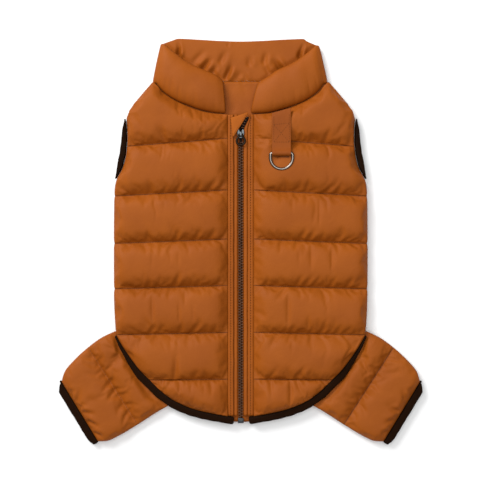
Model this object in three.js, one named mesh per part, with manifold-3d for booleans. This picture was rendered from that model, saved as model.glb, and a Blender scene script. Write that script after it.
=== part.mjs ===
// Quilted dog winter coat, laid flat on its back with the zip side up.
// Millimetres. X runs across the coat, Y from the hem to the collar, Z up from the floor.
// The origin is on the floor under the middle of the coat. A half outline gives |x|.

import * as THREE from 'three';
import { mergeVertices } from 'three/addons/utils/BufferGeometryUtils.js';
import Module from 'manifold-3d';

const wasm = await Module();
wasm.setup();

// Driving sizes

const SEW_GAP = 0.3;
const BINDING_WIDTH = 8;
const BACK_THICKNESS = 5.4;
const EDGE_LIFT = 1.4; // how far a padded edge rounds up from the floor
const FRONT_UNDER = BACK_THICKNESS + SEW_GAP;
const FRONT_SEAM_TOP = 9;
const FRONT_PUFF = 8.2; // a chamber's crest above its seams
const FRONT_CHAMBER_REACH = 22;
const FRONT_EDGE_REACH = 13;
const LEG_UNDER_TOP = 4;
const LEG_TOP_UNDER = LEG_UNDER_TOP + SEW_GAP;
const LEG_HIDDEN_TOP = 7.4; // the stretch of the leg that lies under the front
const LEG_PUFF = 5.4;
const LEG_HEM_GAP = 13; // how far past the hem the leg starts to swell
const LEG_LIFT = LEG_HIDDEN_TOP + SEW_GAP + 0.1 - FRONT_UNDER;
const LEG_LIFT_START = -34; // before the leg's seam, where the front begins to rise over the leg
const LEG_LIFT_RUN = 18;
const ZIP_EDGE = 13.7; // |x| where a quilted front starts
const SIDE_X = 133;
const CHAIN_HALF = 2.7;
const PLACKET_UNDER = 6.6;
const PLACKET_TOP = 9.8;
const LIP_SWING = 5.6; // how far the right lip swings out where the zip is open
const LIP_SWING_FROM = 116;
const LIP_SWING_RUN = 16;

// The front's outer edge from the hem up the side and armhole to the shoulder point.
const FRONT_EDGE = [
  { x: 7.7, y: -184.6 },
  { x: 26.9, y: -181.3 },
  { x: 48.8, y: -176.2 },
  { x: 68.3, y: -168.1 },
  { x: 83, y: -157.8 },
  { x: 94.5, y: -146.6 },
  { x: 106, y: -135.2 },
  { x: 117.1, y: -120.5 },
  { x: 125.5, y: -107.9 },
  { x: 130.4, y: -99 },
  { x: 131.5, y: -90 },
  { x: 133.2, y: -50 },
  { x: 133.3, y: 0 },
  { x: 132.9, y: 48 },
  { x: 131.7, y: 61 },
  { x: 129.6, y: 66.8 },
  { x: 123.9, y: 77.2 },
  { x: 120.2, y: 92.1 },
  { x: 119, y: 106.5 },
  { x: 119.3, y: 119 },
  { x: 120.1, y: 127 },
  { x: 116, y: 138.7 },
  { x: 105.8, y: 152.1 },
  { x: 91.9, y: 168 },
];

// The neck seam of a front, from the zip to the shoulder point.
const NECK_SEAM = [
  { x: ZIP_EDGE, y: 133.4 },
  { x: 26.3, y: 134.2 },
  { x: 43, y: 137.4 },
  { x: 63, y: 145.1 },
  { x: 79.8, y: 154.8 },
  { x: 91.9, y: 167.7 },
];

// The quilt seams, each a line from the zip to the side.
const QUILT_SEAMS = [
  { zip: 108.2, side: 98.6 },
  { zip: 53.9, side: 47.4 },
  { zip: 2.3, side: -2.4 },
  { zip: -46.5, side: -50 },
  { zip: -95.8, side: -98.3 },
  { zip: -145, side: -145.8 },
];
const SHOULDER_LINE = { zip: 173.1, side: 163.5 };
const HEM_LINE = { zip: -183.3, side: -183.3 };

// The back's lower half: its own hem, then the seam that carries the leg, up to the side.
const BACK_LOWER = [
  { x: 6, y: -186 },
  { x: 30, y: -183 },
  { x: 47, y: -176 },
  { x: 60.5, y: -165 },
  { x: 130.7, y: -95.5 },
];
const BACK_NECK_Y = 168.4;
const BACK_SIDE_ROWS = [-90, -50, 0, 48, 61, 77, 92, 107, 127, 138.7, 152];
const BACK_COLUMNS = [-1, -0.97, -0.5, 0, 0.5, 0.97, 1];

// The hem binding's width at each row of the front's hem, narrower towards the side.
const HEM_WIDTHS = [8, 8, 8, 8, 8, 8, 7.4, 5.6, 3.8, 2.4];
const HEM_GAP = 0.6;

// The outer edge of the hem binding.
const HEM_OUTER = [
  { x: 0, y: -193 },
  { x: 8.4, y: -192.8 },
  { x: 27, y: -190.3 },
  { x: 46.2, y: -186.4 },
  { x: 62, y: -180.4 },
  { x: 76.7, y: -173.6 },
  { x: 87.7, y: -167.1 },
  { x: 99.2, y: -156.8 },
  { x: 109.2, y: -143.1 },
  { x: 116.6, y: -131.6 },
  { x: 123.9, y: -119.5 },
  { x: 130.2, y: -109 },
  { x: 132.8, y: -98.8 },
];

// The leg's upper and lower edges at stations along it, from its seam to the cuff.
const LEG_STATIONS = [
  { along: 0, upX: 131.8, upY: -95.3, lowX: 62.3, lowY: -165.6 },
  { along: 0.25, upX: 146.5, upY: -101.5, lowX: 85.5, lowY: -178.2 },
  { along: 0.5, upX: 160.5, upY: -111.6, lowX: 108.3, lowY: -192.7 },
  { along: 0.75, upX: 176.5, upY: -126.4, lowX: 128.8, lowY: -204.9 },
  { along: 0.9, upX: 185.5, upY: -137.7, lowX: 143, lowY: -211 },
  { along: 1, upX: 188.6, upY: -147.6, lowX: 150.2, lowY: -210.6 },
];
const LEG_QUILT = 0.5;
const LEG_REACH = { edge: 14, seam: 20, cuff: 12, hem: 14 }; // where the swelling is full

// The collar's front layer: its foot on the neck seam and its rim, as it lies.
const COLLAR_FRONT = [
  { footX: 26.3, rimX: 22.5, rimY: 169.2, puff: 9.5 },
  { footX: 43, rimX: 38.5, rimY: 179.6, puff: 11 },
  { footX: 55, rimX: 48.5, rimY: 185.2, puff: 10.4 },
  { footX: 65, rimX: 57.5, rimY: 190.6, puff: 11.4 },
  { footX: 75.5, rimX: 66.5, rimY: 197, puff: 10 },
  { footX: 84, rimX: 75, rimY: 203, puff: 9.2 },
];
const COLLAR_FOLD = { footX: 88.1, footY: 168.9, rimX: 80.2, rimY: 206.8 };
const COLLAR_FOLD_PUFFS = [5.4, 4.4, 4, 4.6, 8]; // from the front layer round to the back layer
const COLLAR_BACK = [
  { x: 76, rimX: 73, rimY: 210.6 },
  { x: 66, rimX: 65.6, rimY: 213.3 },
  { x: 44, rimX: 43, rimY: 212.2 },
  { x: 22, rimX: 21, rimY: 210.9 },
];
const COLLAR_CENTRE_RIM = 210.4;
const COLLAR_FOOT_Y = 168.7;
const COLLAR_FOOT_GAP = 0.9; // from the front's neck seam
const COLLAR_EDGES = [
  { side: -1, footX: 16.6, rimX: 17.8, rimY: 163.6, puff: 7 },
  { side: 1, footX: 11.6, rimX: 13.6, rimY: 160.2, puff: 7 },
];
const COLLAR_ROUND_SHARE = 0.22; // of the collar's height, at its foot and at its rim
const COLLAR_EDGE_LIFT = 3.6;

// The armhole binding: its line along the panel and its outer line.
const ARMHOLE = [
  { inX: 121.3, inY: 127.2, outX: 122.3, outY: 126.4 },
  { inX: 120.3, inY: 119, outX: 124.1, outY: 119.6 },
  { inX: 120, inY: 106.5, outX: 125.3, outY: 107.3 },
  { inX: 121.2, inY: 92.1, outX: 127.2, outY: 92.6 },
  { inX: 125, inY: 77.3, outX: 130.2, outY: 78.6 },
  { inX: 130.4, inY: 67.6, outX: 131.6, outY: 67.9 },
];

const ARMHOLE_LEVELS = {
  slitTop: FRONT_UNDER,
  top: 10.4,
  slitUnder: BACK_THICKNESS,
  under: 0,
  turn: 0.5,
};

// Lead strap and D-ring
const STRAP = { x: 42.5, halfWidth: 9.8, seamSlope: 0.28, bendY: 112, endY: 136.6 };
const STRAP_TOP = [[136.6, 16.2], [136.6, 18.6], [132.5, 19.9], [126, 20.4], [103, 20.6]];
const STRAP_UNDER = [[99, 18], [126, 17.8], [132.5, 17.3]];
const RING = { y: 92, z: 20.4, half: 11.6, wire: 1.4, corner: 2, armEnd: 5, drop: 1.2 };
const RING_EYE = { hole: 1.8, outer: 3.3 };

// Zip hardware
const TAPE = { half: 11, low: -190, high: 131 };
const CHAIN = { top: 9.2, low: -185.2, high: 107.9 };
const UPPER_TEETH = [[-1.4, 118.2], [2.7, 118.2], [7.6, 131], [4.6, 131]];
const STOP = { half: 3.3, low: -191.4, top: 9.6 };
const SLIDER = { low: 108.4, high: 117.8, halfLow: 3.1, halfHigh: 3.6, plate: 10.1, top: 11.2 };
const BRIDGE = { low: 109.4, high: 116.8, leg: 1.2, window: 13.2, top: 14.6, half: 1.1 };
const PULL = { y: 112.2, z: 12.2, thick: 1.2, end: 101, halfTop: 2.6, halfEnd: 4.8, wire: 1.2 };
const PULL_HOLE = { inset: 1.1, side: 1.4, corner: 2.6, low: 1.5, high: 3.4 };
const GARAGE = { under: 11.5, top: 13.3 };
const GARAGE_FLAP = [
  [-11, 129.4],
  [-10.4, 127.4],
  [-8.6, 109.6],
  [-7.4, 109.6],
  [7.9, 134.2],
  [6.9, 135.2],
];

const cloth = new THREE.MeshStandardMaterial({ color: 0xb05c22, roughness: 0.72, metalness: 0 });
const lining = new THREE.MeshStandardMaterial({ color: 0xa3541f, roughness: 0.75, metalness: 0 });
const elastic = new THREE.MeshStandardMaterial({ color: 0x1e140c, roughness: 0.9, metalness: 0 });
const webbing = new THREE.MeshStandardMaterial({ color: 0xa85a24, roughness: 0.8, metalness: 0 });
const teeth = new THREE.MeshStandardMaterial({ color: 0x2a211c, roughness: 0.4, metalness: 0.6 });
const tape = new THREE.MeshStandardMaterial({ color: 0x5e3418, roughness: 0.9, metalness: 0 });
const gunmetal = new THREE.MeshStandardMaterial({ color: 0x55504b, roughness: 0.3, metalness: 1 });

const coat = new THREE.Group();

// Small sums

const mix = (a, b, t) => a + (b - a) * t;
const clamp = (t, low, high) => Math.min(high, Math.max(low, t));
const smooth = (t) => clamp(t, 0, 1) ** 2 * (3 - 2 * clamp(t, 0, 1));
const dome = (d, reach) => Math.sqrt(1 - (1 - clamp(d / reach, 0, 1)) ** 2);

// Reads a table whose rows rise in the column key, in a straight line between rows.
function read(table, key, value, at) {
  const last = table.length - 1;
  let i = 0;
  while (i < last - 1 && table[i + 1][key] < at) i += 1;
  const low = table[i];
  const high = table[i + 1];
  const t = clamp((at - low[key]) / (high[key] - low[key]), 0, 1);
  return mix(low[value], high[value], t);
}

// Makes a named mesh of one closed skin and turns it the right way out.
function addSkin(name, points, faces, material) {
  let volume = 0;
  for (let f = 0; f < faces.length; f += 3) {
    const [a, b, c] = [points[faces[f]], points[faces[f + 1]], points[faces[f + 2]]];
    volume += a[0] * (b[1] * c[2] - b[2] * c[1]);
    volume += a[1] * (b[2] * c[0] - b[0] * c[2]);
    volume += a[2] * (b[0] * c[1] - b[1] * c[0]);
  }
  const geometry = new THREE.BufferGeometry();
  geometry.setAttribute('position', new THREE.Float32BufferAttribute(points.flat(), 3));
  geometry.setIndex(volume < 0 ? faces.slice().reverse() : faces);
  return addMesh(name, geometry, material);
}

function addMesh(name, geometry, material) {
  geometry.computeVertexNormals();
  const mesh = new THREE.Mesh(geometry, material);
  mesh.name = name;
  coat.add(mesh);
  return mesh;
}

// A padded wall: a grid of rows, each point with x, y, the height of its top and of its underside.
function addWall(name, rows, material) {
  const across = rows[0].length;
  const count = rows.length * across;
  const upper = rows.flat().map((p) => [p.x, p.y, p.top]);
  const points = [...upper, ...rows.flat().map((p) => [p.x, p.y, p.under])];
  const faces = [];
  const quad = (a, b, c, d) => faces.push(a, b, c, a, c, d);
  for (let i = 0; i < rows.length - 1; i += 1) {
    for (let j = 0; j < across - 1; j += 1) {
      const a = i * across + j;
      quad(a, a + 1, a + across + 1, a + across);
      quad(count + a, count + a + across, count + a + across + 1, count + a + 1);
    }
  }
  for (let i = 0; i < rows.length - 1; i += 1) {
    const a = i * across;
    const b = a + across - 1;
    quad(a, a + across, count + a + across, count + a);
    quad(b, count + b, count + b + across, b + across);
  }
  for (let j = 0; j < across - 1; j += 1) {
    const b = (rows.length - 1) * across + j;
    quad(j, count + j, count + j + 1, j + 1);
    quad(b, b + 1, count + b + 1, count + b);
  }
  return addSkin(name, points, faces, material);
}

// A skin through sections of equal count. It closes on itself, or each end gets a cap.
function addLoft(name, sections, closed, material) {
  const count = sections[0].length;
  const points = sections.flat();
  const faces = [];
  const steps = closed ? sections.length : sections.length - 1;
  for (let i = 0; i < steps; i += 1) {
    const a = i * count;
    const b = ((i + 1) % sections.length) * count;
    for (let j = 0; j < count; j += 1) {
      const k = (j + 1) % count;
      faces.push(a + j, a + k, b + k, a + j, b + k, b + j);
    }
  }
  if (!closed) {
    [0, sections.length - 1].forEach((end) => {
      const ring = sections[end];
      const middle = [0, 1, 2].map((axis) => ring.reduce((sum, p) => sum + p[axis], 0) / count);
      const hub = points.push(middle) - 1;
      for (let j = 0; j < count; j += 1) {
        const a = end * count + j;
        const b = end * count + ((j + 1) % count);
        faces.push(...(end === 0 ? [hub, b, a] : [hub, a, b]));
      }
    });
  }
  return addSkin(name, points, faces, material);
}

// Quilted fronts

const seamY = (line, x) => mix(line.zip, line.side, (x - ZIP_EDGE) / (SIDE_X - ZIP_EDGE));
const hemY = (x) => read(FRONT_EDGE.slice(0, 10), 'x', 'y', x);
const neckY = (x) => read(NECK_SEAM, 'x', 'y', x);
const edgeX = (y) => read(FRONT_EDGE, 'y', 'x', y);

// Distance beyond the seam that joins the leg to the back, seen from above.
function beyondLegSeam(x, y) {
  const low = BACK_LOWER[3];
  const high = BACK_LOWER[4];
  const along = new THREE.Vector2(high.x - low.x, high.y - low.y).normalize();
  return (x - low.x) * along.y - (y - low.y) * along.x;
}

function frontUnder(x, y) {
  return FRONT_UNDER + LEG_LIFT * smooth((beyondLegSeam(x, y) - LEG_LIFT_START) / LEG_LIFT_RUN);
}

const seamDistance = (x, y) => Math.min(...QUILT_SEAMS.map((line) => Math.abs(y - seamY(line, x))));

// Height of a front's outer face. toEdge is the distance to its nearest sewn edge.
function frontTop(x, y, toEdge) {
  const lift = frontUnder(x, y) - FRONT_UNDER;
  const puff = FRONT_PUFF - 0.5 * lift;
  const quilted = dome(seamDistance(x, y), FRONT_CHAMBER_REACH);
  return FRONT_SEAM_TOP + lift + puff * quilted * dome(toEdge, FRONT_EDGE_REACH);
}

function rowEnds(line) {
  let start = ZIP_EDGE;
  if (seamY(line, start) > neckY(start) - SEW_GAP) {
    let high = NECK_SEAM.at(-1).x;
    for (let step = 0; step < 30; step += 1) {
      const middle = (start + high) / 2;
      if (seamY(line, middle) > neckY(middle) - SEW_GAP) start = middle;
      else high = middle;
    }
  }
  let end = SIDE_X;
  for (let step = 0; step < 12; step += 1) end = edgeX(seamY(line, end));
  return { start, end };
}

const FRONT_COLUMNS = [0, 0.05, 0.16, 0.36, 0.6, 0.82, 0.94, 1];
const CHAMBER_ROWS = [0, 0.16, 0.38, 0.62, 0.84];
const SHOULDER_ROWS = [0.98, 0.9, 0.78, 0.66, 0.54, 0.44, 0.37, 0.22, 0.1];
const HEM_ROWS = [0, 0.14, 0.34, 0.54, 0.72, 0.87, 1];

const between = (a, b, t) => ({ zip: mix(a.zip, b.zip, t), side: mix(a.side, b.side, t) });

function frontLines() {
  const lines = SHOULDER_ROWS.map((t) => between(QUILT_SEAMS[0], SHOULDER_LINE, t));
  for (let i = 0; i < QUILT_SEAMS.length - 1; i += 1) {
    lines.push(...CHAMBER_ROWS.map((t) => between(QUILT_SEAMS[i], QUILT_SEAMS[i + 1], t)));
  }
  lines.push(...HEM_ROWS.map((t) => between(QUILT_SEAMS.at(-1), HEM_LINE, t)));
  return lines;
}

function addFront(name, side) {
  const rows = frontLines().map((line) => {
    const { start, end } = rowEnds(line);
    return FRONT_COLUMNS.map((t) => {
      const x = mix(start, end, t);
      const y = seamY(line, x);
      const toEdge = Math.min(x - start, end - x, y - hemY(x), Math.max(0, neckY(x) - y));
      return { x: side * x, y, top: frontTop(x, y, toEdge), under: frontUnder(x, y) };
    });
  });
  addWall(name, rows, cloth);
}

// Back, flat underneath with its edge rounded up

function backHalf(y) {
  if (y < BACK_LOWER.at(-1).y) return read(BACK_LOWER, 'y', 'x', y);
  return edgeX(Math.min(y, BACK_NECK_Y - SEW_GAP)) - 2 * SEW_GAP;
}

function addBack() {
  const heights = [...BACK_LOWER.map((p) => p.y), ...BACK_SIDE_ROWS, BACK_NECK_Y];
  const rows = heights.map((y, i) => {
    const outer = i === 0 || i === heights.length - 1;
    return BACK_COLUMNS.map((t) => {
      const lift = outer || Math.abs(t) === 1 ? EDGE_LIFT : 0;
      return { x: t * backHalf(y), y, top: BACK_THICKNESS, under: lift };
    });
  });
  addWall('back_panel', rows, lining);
}

// Hem binding, laid along the front's edge

function addHemBinding(name, side, centreEnd) {
  const sections = [
    { t: 0, top: 3, under: 0.6 },
    { t: 0.3, top: 4.2, under: 0 },
    { t: 0.7, top: 4, under: 0 },
    { t: 1, top: 2.6, under: 0.8 },
  ];
  const line = FRONT_EDGE.slice(0, HEM_WIDTHS.length).filter((p) => p.x > centreEnd + 2);
  const widths = HEM_WIDTHS.slice(-line.length);
  line.unshift({ x: centreEnd, y: hemY(centreEnd) });
  widths.unshift(BINDING_WIDTH);
  const rows = line.map((p, i) => {
    const next = line[Math.min(i + 1, line.length - 1)];
    const before = line[Math.max(i - 1, 0)];
    const along = new THREE.Vector2(next.x - before.x, next.y - before.y).normalize();
    const out = i === 0 ? new THREE.Vector2(0, -1) : new THREE.Vector2(along.y, -along.x);
    const [inX, inY] = [p.x + out.x * HEM_GAP, p.y + out.y * HEM_GAP];
    const [outX, outY] = [p.x + out.x * widths[i], p.y + out.y * widths[i]];
    return sections.map((s) => {
      const x = mix(inX, outX, s.t);
      const y = mix(inY, outY, s.t);
      const base = frontUnder(x, y);
      return { x: side * x, y, top: base + s.top, under: base + s.under };
    });
  });
  addWall(name, rows, elastic);
}

// Legs: an upper and an under wall on one outline

function legPoint(along, across) {
  const at = (value) => read(LEG_STATIONS, 'along', value, along);
  return { x: mix(at('upX'), at('lowX'), across), y: mix(at('upY'), at('lowY'), across) };
}

const LEG_ALONG = [0, 0.12, 0.25, 0.38, 0.46, 0.5, 0.54, 0.64, 0.78, 0.92, 1];
const LEG_ACROSS = [0, 0.06, 0.2, 0.4, 0.6, 0.8, 0.94, 1];
const LEG_WIDTH = 96;
const LEG_LENGTH = 90;
const CUFF_ROUND = 4.2; // how much narrower the cuff is where it turns

function legTop(x, y, along, across) {
  const pastHem = read(HEM_OUTER, 'x', 'y', Math.min(x, SIDE_X)) - y + Math.max(0, x - SIDE_X);
  const toEdge = Math.min(across, 1 - across) * LEG_WIDTH;
  const toSeam = Math.abs(along - LEG_QUILT) * LEG_LENGTH;
  const toCuff = (1 - along) * LEG_LENGTH;
  const sewn = dome(toEdge, LEG_REACH.edge) * dome(toSeam, LEG_REACH.seam);
  const free = dome(toCuff, LEG_REACH.cuff) * dome(pastHem - LEG_HEM_GAP, LEG_REACH.hem);
  return LEG_HIDDEN_TOP + LEG_PUFF * sewn * free;
}

function addLeg(side, word) {
  const grid = (height) => LEG_ALONG.map((along) => LEG_ACROSS.map((across) => {
    const { x, y } = legPoint(along, across);
    const rim = across === 0 || across === 1;
    return { x: side * x, y, ...height(x, y, along, across, rim) };
  }));
  addWall(`leg_${word}_top`, grid((x, y, along, across) => (
    { top: legTop(x, y, along, across), under: LEG_TOP_UNDER }
  )), cloth);
  addWall(`leg_${word}_under`, grid((x, y, along, across, rim) => (
    { top: LEG_UNDER_TOP, under: rim ? EDGE_LIFT : 0 }
  )), cloth);
}

// A flattened loop: an upper and a lower strand that meet at both ends.
// Each row has the strand's inner and outer line, and the loop turns through the ends.
function addFlatLoop(name, side, rows, levels, material) {
  const section = (row, reach, inside, outside, squeeze) => {
    const rim = mix(inside, outside, squeeze);
    const corners = [[0, inside], [1, inside], [1, rim], [0.7, outside], [0.2, outside], [0, rim]];
    return corners.map(([t, z]) => [
      side * (mix(row.inX, row.outX, t) + reach.x),
      mix(row.inY, row.outY, t) + reach.y,
      z,
    ]);
  };
  const still = { x: 0, y: 0 };
  const upper = rows.map((row) => section(row, still, levels.slitTop, levels.top, 0.7));
  const lower = rows.map((row) => section(row, still, levels.slitUnder, levels.under, 0.7)).reverse();
  const turn = (row, toward) => {
    const run = new THREE.Vector2(row.inX - toward.inX, row.inY - toward.inY).normalize();
    const middle = (levels.slitTop + levels.slitUnder) / 2;
    const inner = section(row, still, middle, middle, 0);
    const far = section(row, { x: run.x * levels.turn, y: run.y * levels.turn }, middle, middle, 0);
    return [inner[0], inner[1], far[2], far[3], far[4], far[5]];
  };
  const last = rows.length - 1;
  const sections = [...upper, turn(rows[last], rows[last - 1]), ...lower, turn(rows[0], rows[1])];
  addLoft(name, sections, true, material);
}

function addCuff(name, side) {
  const steps = [0.01, 0.1, 0.3, 0.5, 0.7, 0.9, 0.985];
  const end = LEG_STATIONS.at(-1);
  const run = new THREE.Vector2(end.lowX - end.upX, end.lowY - end.upY).normalize();
  const out = new THREE.Vector2(-run.y, run.x);
  const rows = steps.map((t) => {
    const inX = mix(end.upX, end.lowX, t) + out.x * SEW_GAP;
    const inY = mix(end.upY, end.lowY, t) + out.y * SEW_GAP;
    const wide = BINDING_WIDTH - (t === steps[0] || t === steps.at(-1) ? CUFF_ROUND : 0);
    return { inX, inY, outX: inX + out.x * wide, outY: inY + out.y * wide };
  });
  const levels = { slitTop: LEG_TOP_UNDER, top: 8.4, slitUnder: LEG_UNDER_TOP, under: 0, turn: 1 };
  addFlatLoop(name, side, rows, levels, elastic);
}

// Collar: one padded band that turns over at each side

const COLLAR_ACROSS = [1, 0.94, 0.8, 0.5, 0.2, 0.06, 0];

function collarSection(station, side, turn) {
  const up = Math.sin(turn);
  const out = Math.cos(turn);
  const middle = (BACK_THICKNESS + FRONT_UNDER) / 2;
  const point = (t, lift) => [
    side * (mix(station.footX, station.rimX, t) + out * lift),
    mix(station.footY, station.rimY, t),
    middle + up * lift,
  ];
  const inner = [0, 0.5, 1].map((t) => point(t, SEW_GAP / 2));
  const outer = COLLAR_ACROSS.map((t) => {
    const round = dome(Math.min(t, 1 - t), COLLAR_ROUND_SHARE);
    const flat = up < -0.9;
    const full = flat ? middle : station.puff;
    const edge = flat ? middle - EDGE_LIFT : Math.min(COLLAR_EDGE_LIFT, station.puff);
    return point(t, mix(edge, full, flat ? Math.min(1, round * 2) : round));
  });
  return [...inner, ...outer];
}

function addCollar() {
  const quarter = Math.PI / 4;
  const backSection = (row, side) => {
    const station = { footX: row.x, footY: COLLAR_FOOT_Y, rimX: row.rimX, rimY: row.rimY };
    return collarSection({ ...station, puff: BACK_THICKNESS }, side, -2 * quarter);
  };
  const half = (edge) => [
    ...[edge, ...COLLAR_FRONT].map((row) => {
      const station = { ...row, footY: neckY(row.footX) + COLLAR_FOOT_GAP };
      return collarSection(station, edge.side, 2 * quarter);
    }),
    ...[2, 1, 0, -1, -2].map((turn) => {
      const puff = COLLAR_FOLD_PUFFS[2 - turn];
      return collarSection({ ...COLLAR_FOLD, puff }, edge.side, turn * quarter);
    }),
    ...COLLAR_BACK.map((row) => backSection(row, edge.side)),
  ];
  const left = half(COLLAR_EDGES[0]);
  const right = half(COLLAR_EDGES[1]).reverse();
  const centre = backSection({ x: 0, rimX: 0, rimY: COLLAR_CENTRE_RIM }, 1);
  addLoft('collar', [...left, centre, ...right], false, cloth);
}

// Plackets: a lip beside the chain, a stitched groove and a band

function addPlacket(name, side) {
  const profile = [
    { x: CHAIN_HALF + SEW_GAP, top: 8.6 },
    { x: 4.4, top: PLACKET_TOP },
    { x: 6.1, top: 9.7 },
    { x: 6.9, top: 8.7 },
    { x: 7.7, top: 9.6 },
    { x: 12.2, top: PLACKET_TOP },
    { x: ZIP_EDGE - SEW_GAP, top: 8.9 },
  ];
  const heights = [-183.2, -150, -100, -50, 0, 50, 100, 116, 120, 124, 128, 133];
  const open = (y) => (side > 0 ? LIP_SWING * smooth((y - LIP_SWING_FROM) / LIP_SWING_RUN) : 0);
  const rows = heights.map((y) => profile.map((p) => {
    const stays = smooth((p.x - profile[0].x) / (profile.at(-1).x - 4.4));
    const x = p.x + open(y) * (1 - stays);
    return { x: side * x, y, top: p.top, under: PLACKET_UNDER };
  }));
  addWall(name, rows, cloth);
}

function addBlock(name, low, high, material) {
  const size = high.map((value, axis) => value - low[axis]);
  const geometry = new THREE.BoxGeometry(...size);
  geometry.translate(...low.map((value, axis) => value + size[axis] / 2));
  return addMesh(name, geometry, material);
}

// Extrudes an outline drawn in Y and Z across X.
function acrossX(shape, centre, half) {
  const settings = { depth: 2 * half, bevelEnabled: false, curveSegments: 8 };
  const geometry = new THREE.ExtrudeGeometry(shape, settings);
  const turn = new THREE.Matrix4().makeBasis(
    new THREE.Vector3(0, 1, 0),
    new THREE.Vector3(0, 0, 1),
    new THREE.Vector3(1, 0, 0),
  );
  geometry.applyMatrix4(turn);
  geometry.translate(centre - half, 0, 0);
  return geometry;
}

function toManifold(geometry) {
  const bare = geometry.clone();
  bare.deleteAttribute('normal');
  bare.deleteAttribute('uv');
  const merged = mergeVertices(bare, 1e-4);
  const vertProperties = Float32Array.from(merged.attributes.position.array);
  const triVerts = Uint32Array.from(merged.index.array);
  return new wasm.Manifold(new wasm.Mesh({ numProp: 3, vertProperties, triVerts }));
}

function fromManifold(body) {
  const mesh = body.getMesh();
  const geometry = new THREE.BufferGeometry();
  geometry.setAttribute('position', new THREE.Float32BufferAttribute(mesh.vertProperties, 3));
  geometry.setIndex(Array.from(mesh.triVerts));
  return geometry;
}

const outline = (points) => new THREE.Shape(points.map(([x, y]) => new THREE.Vector2(x, y)));

// Extrudes an outline drawn in X and Y upwards.
function flat(shape, under, top) {
  const geometry = new THREE.ExtrudeGeometry(shape, { depth: top - under, bevelEnabled: false });
  return geometry.translate(0, 0, under);
}

function addFlat(name, points, under, top, material) {
  addMesh(name, flat(outline(points), under, top), material);
}

// Zip

function addZip() {
  const tapeTop = PLACKET_UNDER - SEW_GAP;
  addBlock('zip_tape', [-TAPE.half, TAPE.low, FRONT_UNDER], [TAPE.half, TAPE.high, tapeTop], tape);
  const chainLow = [-CHAIN_HALF, CHAIN.low, PLACKET_UNDER];
  addBlock('zip_chain', chainLow, [CHAIN_HALF, CHAIN.high, CHAIN.top], teeth);
  addFlat('zip_upper_teeth', UPPER_TEETH, PLACKET_UNDER, CHAIN.top, teeth);
  const stopHigh = [STOP.half, CHAIN.low - SEW_GAP, STOP.top];
  addBlock('zip_bottom_stop', [-STOP.half, STOP.low, PLACKET_UNDER], stopHigh, gunmetal);

  const plan = outline([
    [-SLIDER.halfLow, SLIDER.low],
    [SLIDER.halfLow, SLIDER.low],
    [SLIDER.halfHigh, mix(SLIDER.low, SLIDER.high, 0.55)],
    [SLIDER.halfHigh - 1, SLIDER.high],
    [1 - SLIDER.halfHigh, SLIDER.high],
    [-SLIDER.halfHigh, mix(SLIDER.low, SLIDER.high, 0.55)],
  ]);
  const plate = flat(plan, SLIDER.plate, SLIDER.top);
  const length = SLIDER.high - SLIDER.low;
  const coreTop = SLIDER.plate + 0.5;
  const core = new THREE.BoxGeometry(2 * CHAIN_HALF, length, coreTop - PLACKET_UNDER);
  core.translate(0, SLIDER.low + length / 2, (coreTop + PLACKET_UNDER) / 2);
  const foot = SLIDER.top - 0.6;
  const arch = outline([
    [BRIDGE.low, foot],
    [BRIDGE.low + BRIDGE.leg, foot],
    [BRIDGE.low + BRIDGE.leg, BRIDGE.window],
    [BRIDGE.high - BRIDGE.leg, BRIDGE.window],
    [BRIDGE.high - BRIDGE.leg, foot],
    [BRIDGE.high, foot],
    [BRIDGE.high, BRIDGE.top - 1],
    [BRIDGE.high - 1, BRIDGE.top],
    [BRIDGE.low + 1, BRIDGE.top],
    [BRIDGE.low, BRIDGE.top - 1],
  ]);
  const body = toManifold(plate).add(toManifold(core));
  const joined = body.add(toManifold(acrossX(arch, 0, BRIDGE.half)));
  addMesh('zip_slider', fromManifold(joined), gunmetal);

  const barHalf = PULL.wire / 2;
  const loop = outline([
    [-PULL.halfTop, PULL.y + barHalf],
    [-PULL.halfEnd, PULL.end + 3],
    [-PULL.halfEnd + 2, PULL.end],
    [PULL.halfEnd - 2, PULL.end],
    [PULL.halfEnd, PULL.end + 3],
    [PULL.halfTop, PULL.y + barHalf],
  ]);
  loop.holes.push(outline([
    [-PULL.halfTop + PULL_HOLE.inset, PULL.y - barHalf],
    [PULL.halfTop - PULL_HOLE.inset, PULL.y - barHalf],
    [PULL.halfEnd - PULL_HOLE.side, PULL.end + PULL_HOLE.high],
    [PULL.halfEnd - PULL_HOLE.corner, PULL.end + PULL_HOLE.low],
    [PULL_HOLE.corner - PULL.halfEnd, PULL.end + PULL_HOLE.low],
    [PULL_HOLE.side - PULL.halfEnd, PULL.end + PULL_HOLE.high],
  ]));
  const thickHalf = PULL.thick / 2;
  addMesh('zip_pull', flat(loop, PULL.z - thickHalf, PULL.z + thickHalf), gunmetal);
  addFlat('zip_garage', GARAGE_FLAP, GARAGE.under, GARAGE.top, cloth);
}

// Lead strap, folded round the ring's bar and sewn in at the neck seam

function addStrap() {
  const shape = new THREE.Shape();
  STRAP_TOP.forEach(([y, z], i) => (i ? shape.lineTo(y, z) : shape.moveTo(y, z)));
  const lean = Math.PI * 0.3;
  shape.absarc(RING.y, RING.z, RING_EYE.outer, lean, 2 * Math.PI - lean, false);
  STRAP_UNDER.forEach(([y, z]) => shape.lineTo(y, z));
  const hole = new THREE.Path();
  hole.absarc(RING.y, RING.z, RING_EYE.hole, 0, 2 * Math.PI, true);
  shape.holes.push(hole);
  const geometry = acrossX(shape, STRAP.x, STRAP.halfWidth);
  const place = geometry.attributes.position;
  for (let i = 0; i < place.count; i += 1) {
    const share = clamp((place.getY(i) - STRAP.bendY) / (STRAP.endY - STRAP.bendY), 0, 1);
    place.setY(i, place.getY(i) + share * STRAP.seamSlope * (place.getX(i) - STRAP.x));
  }
  addMesh('strap', geometry, webbing);
}

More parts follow.
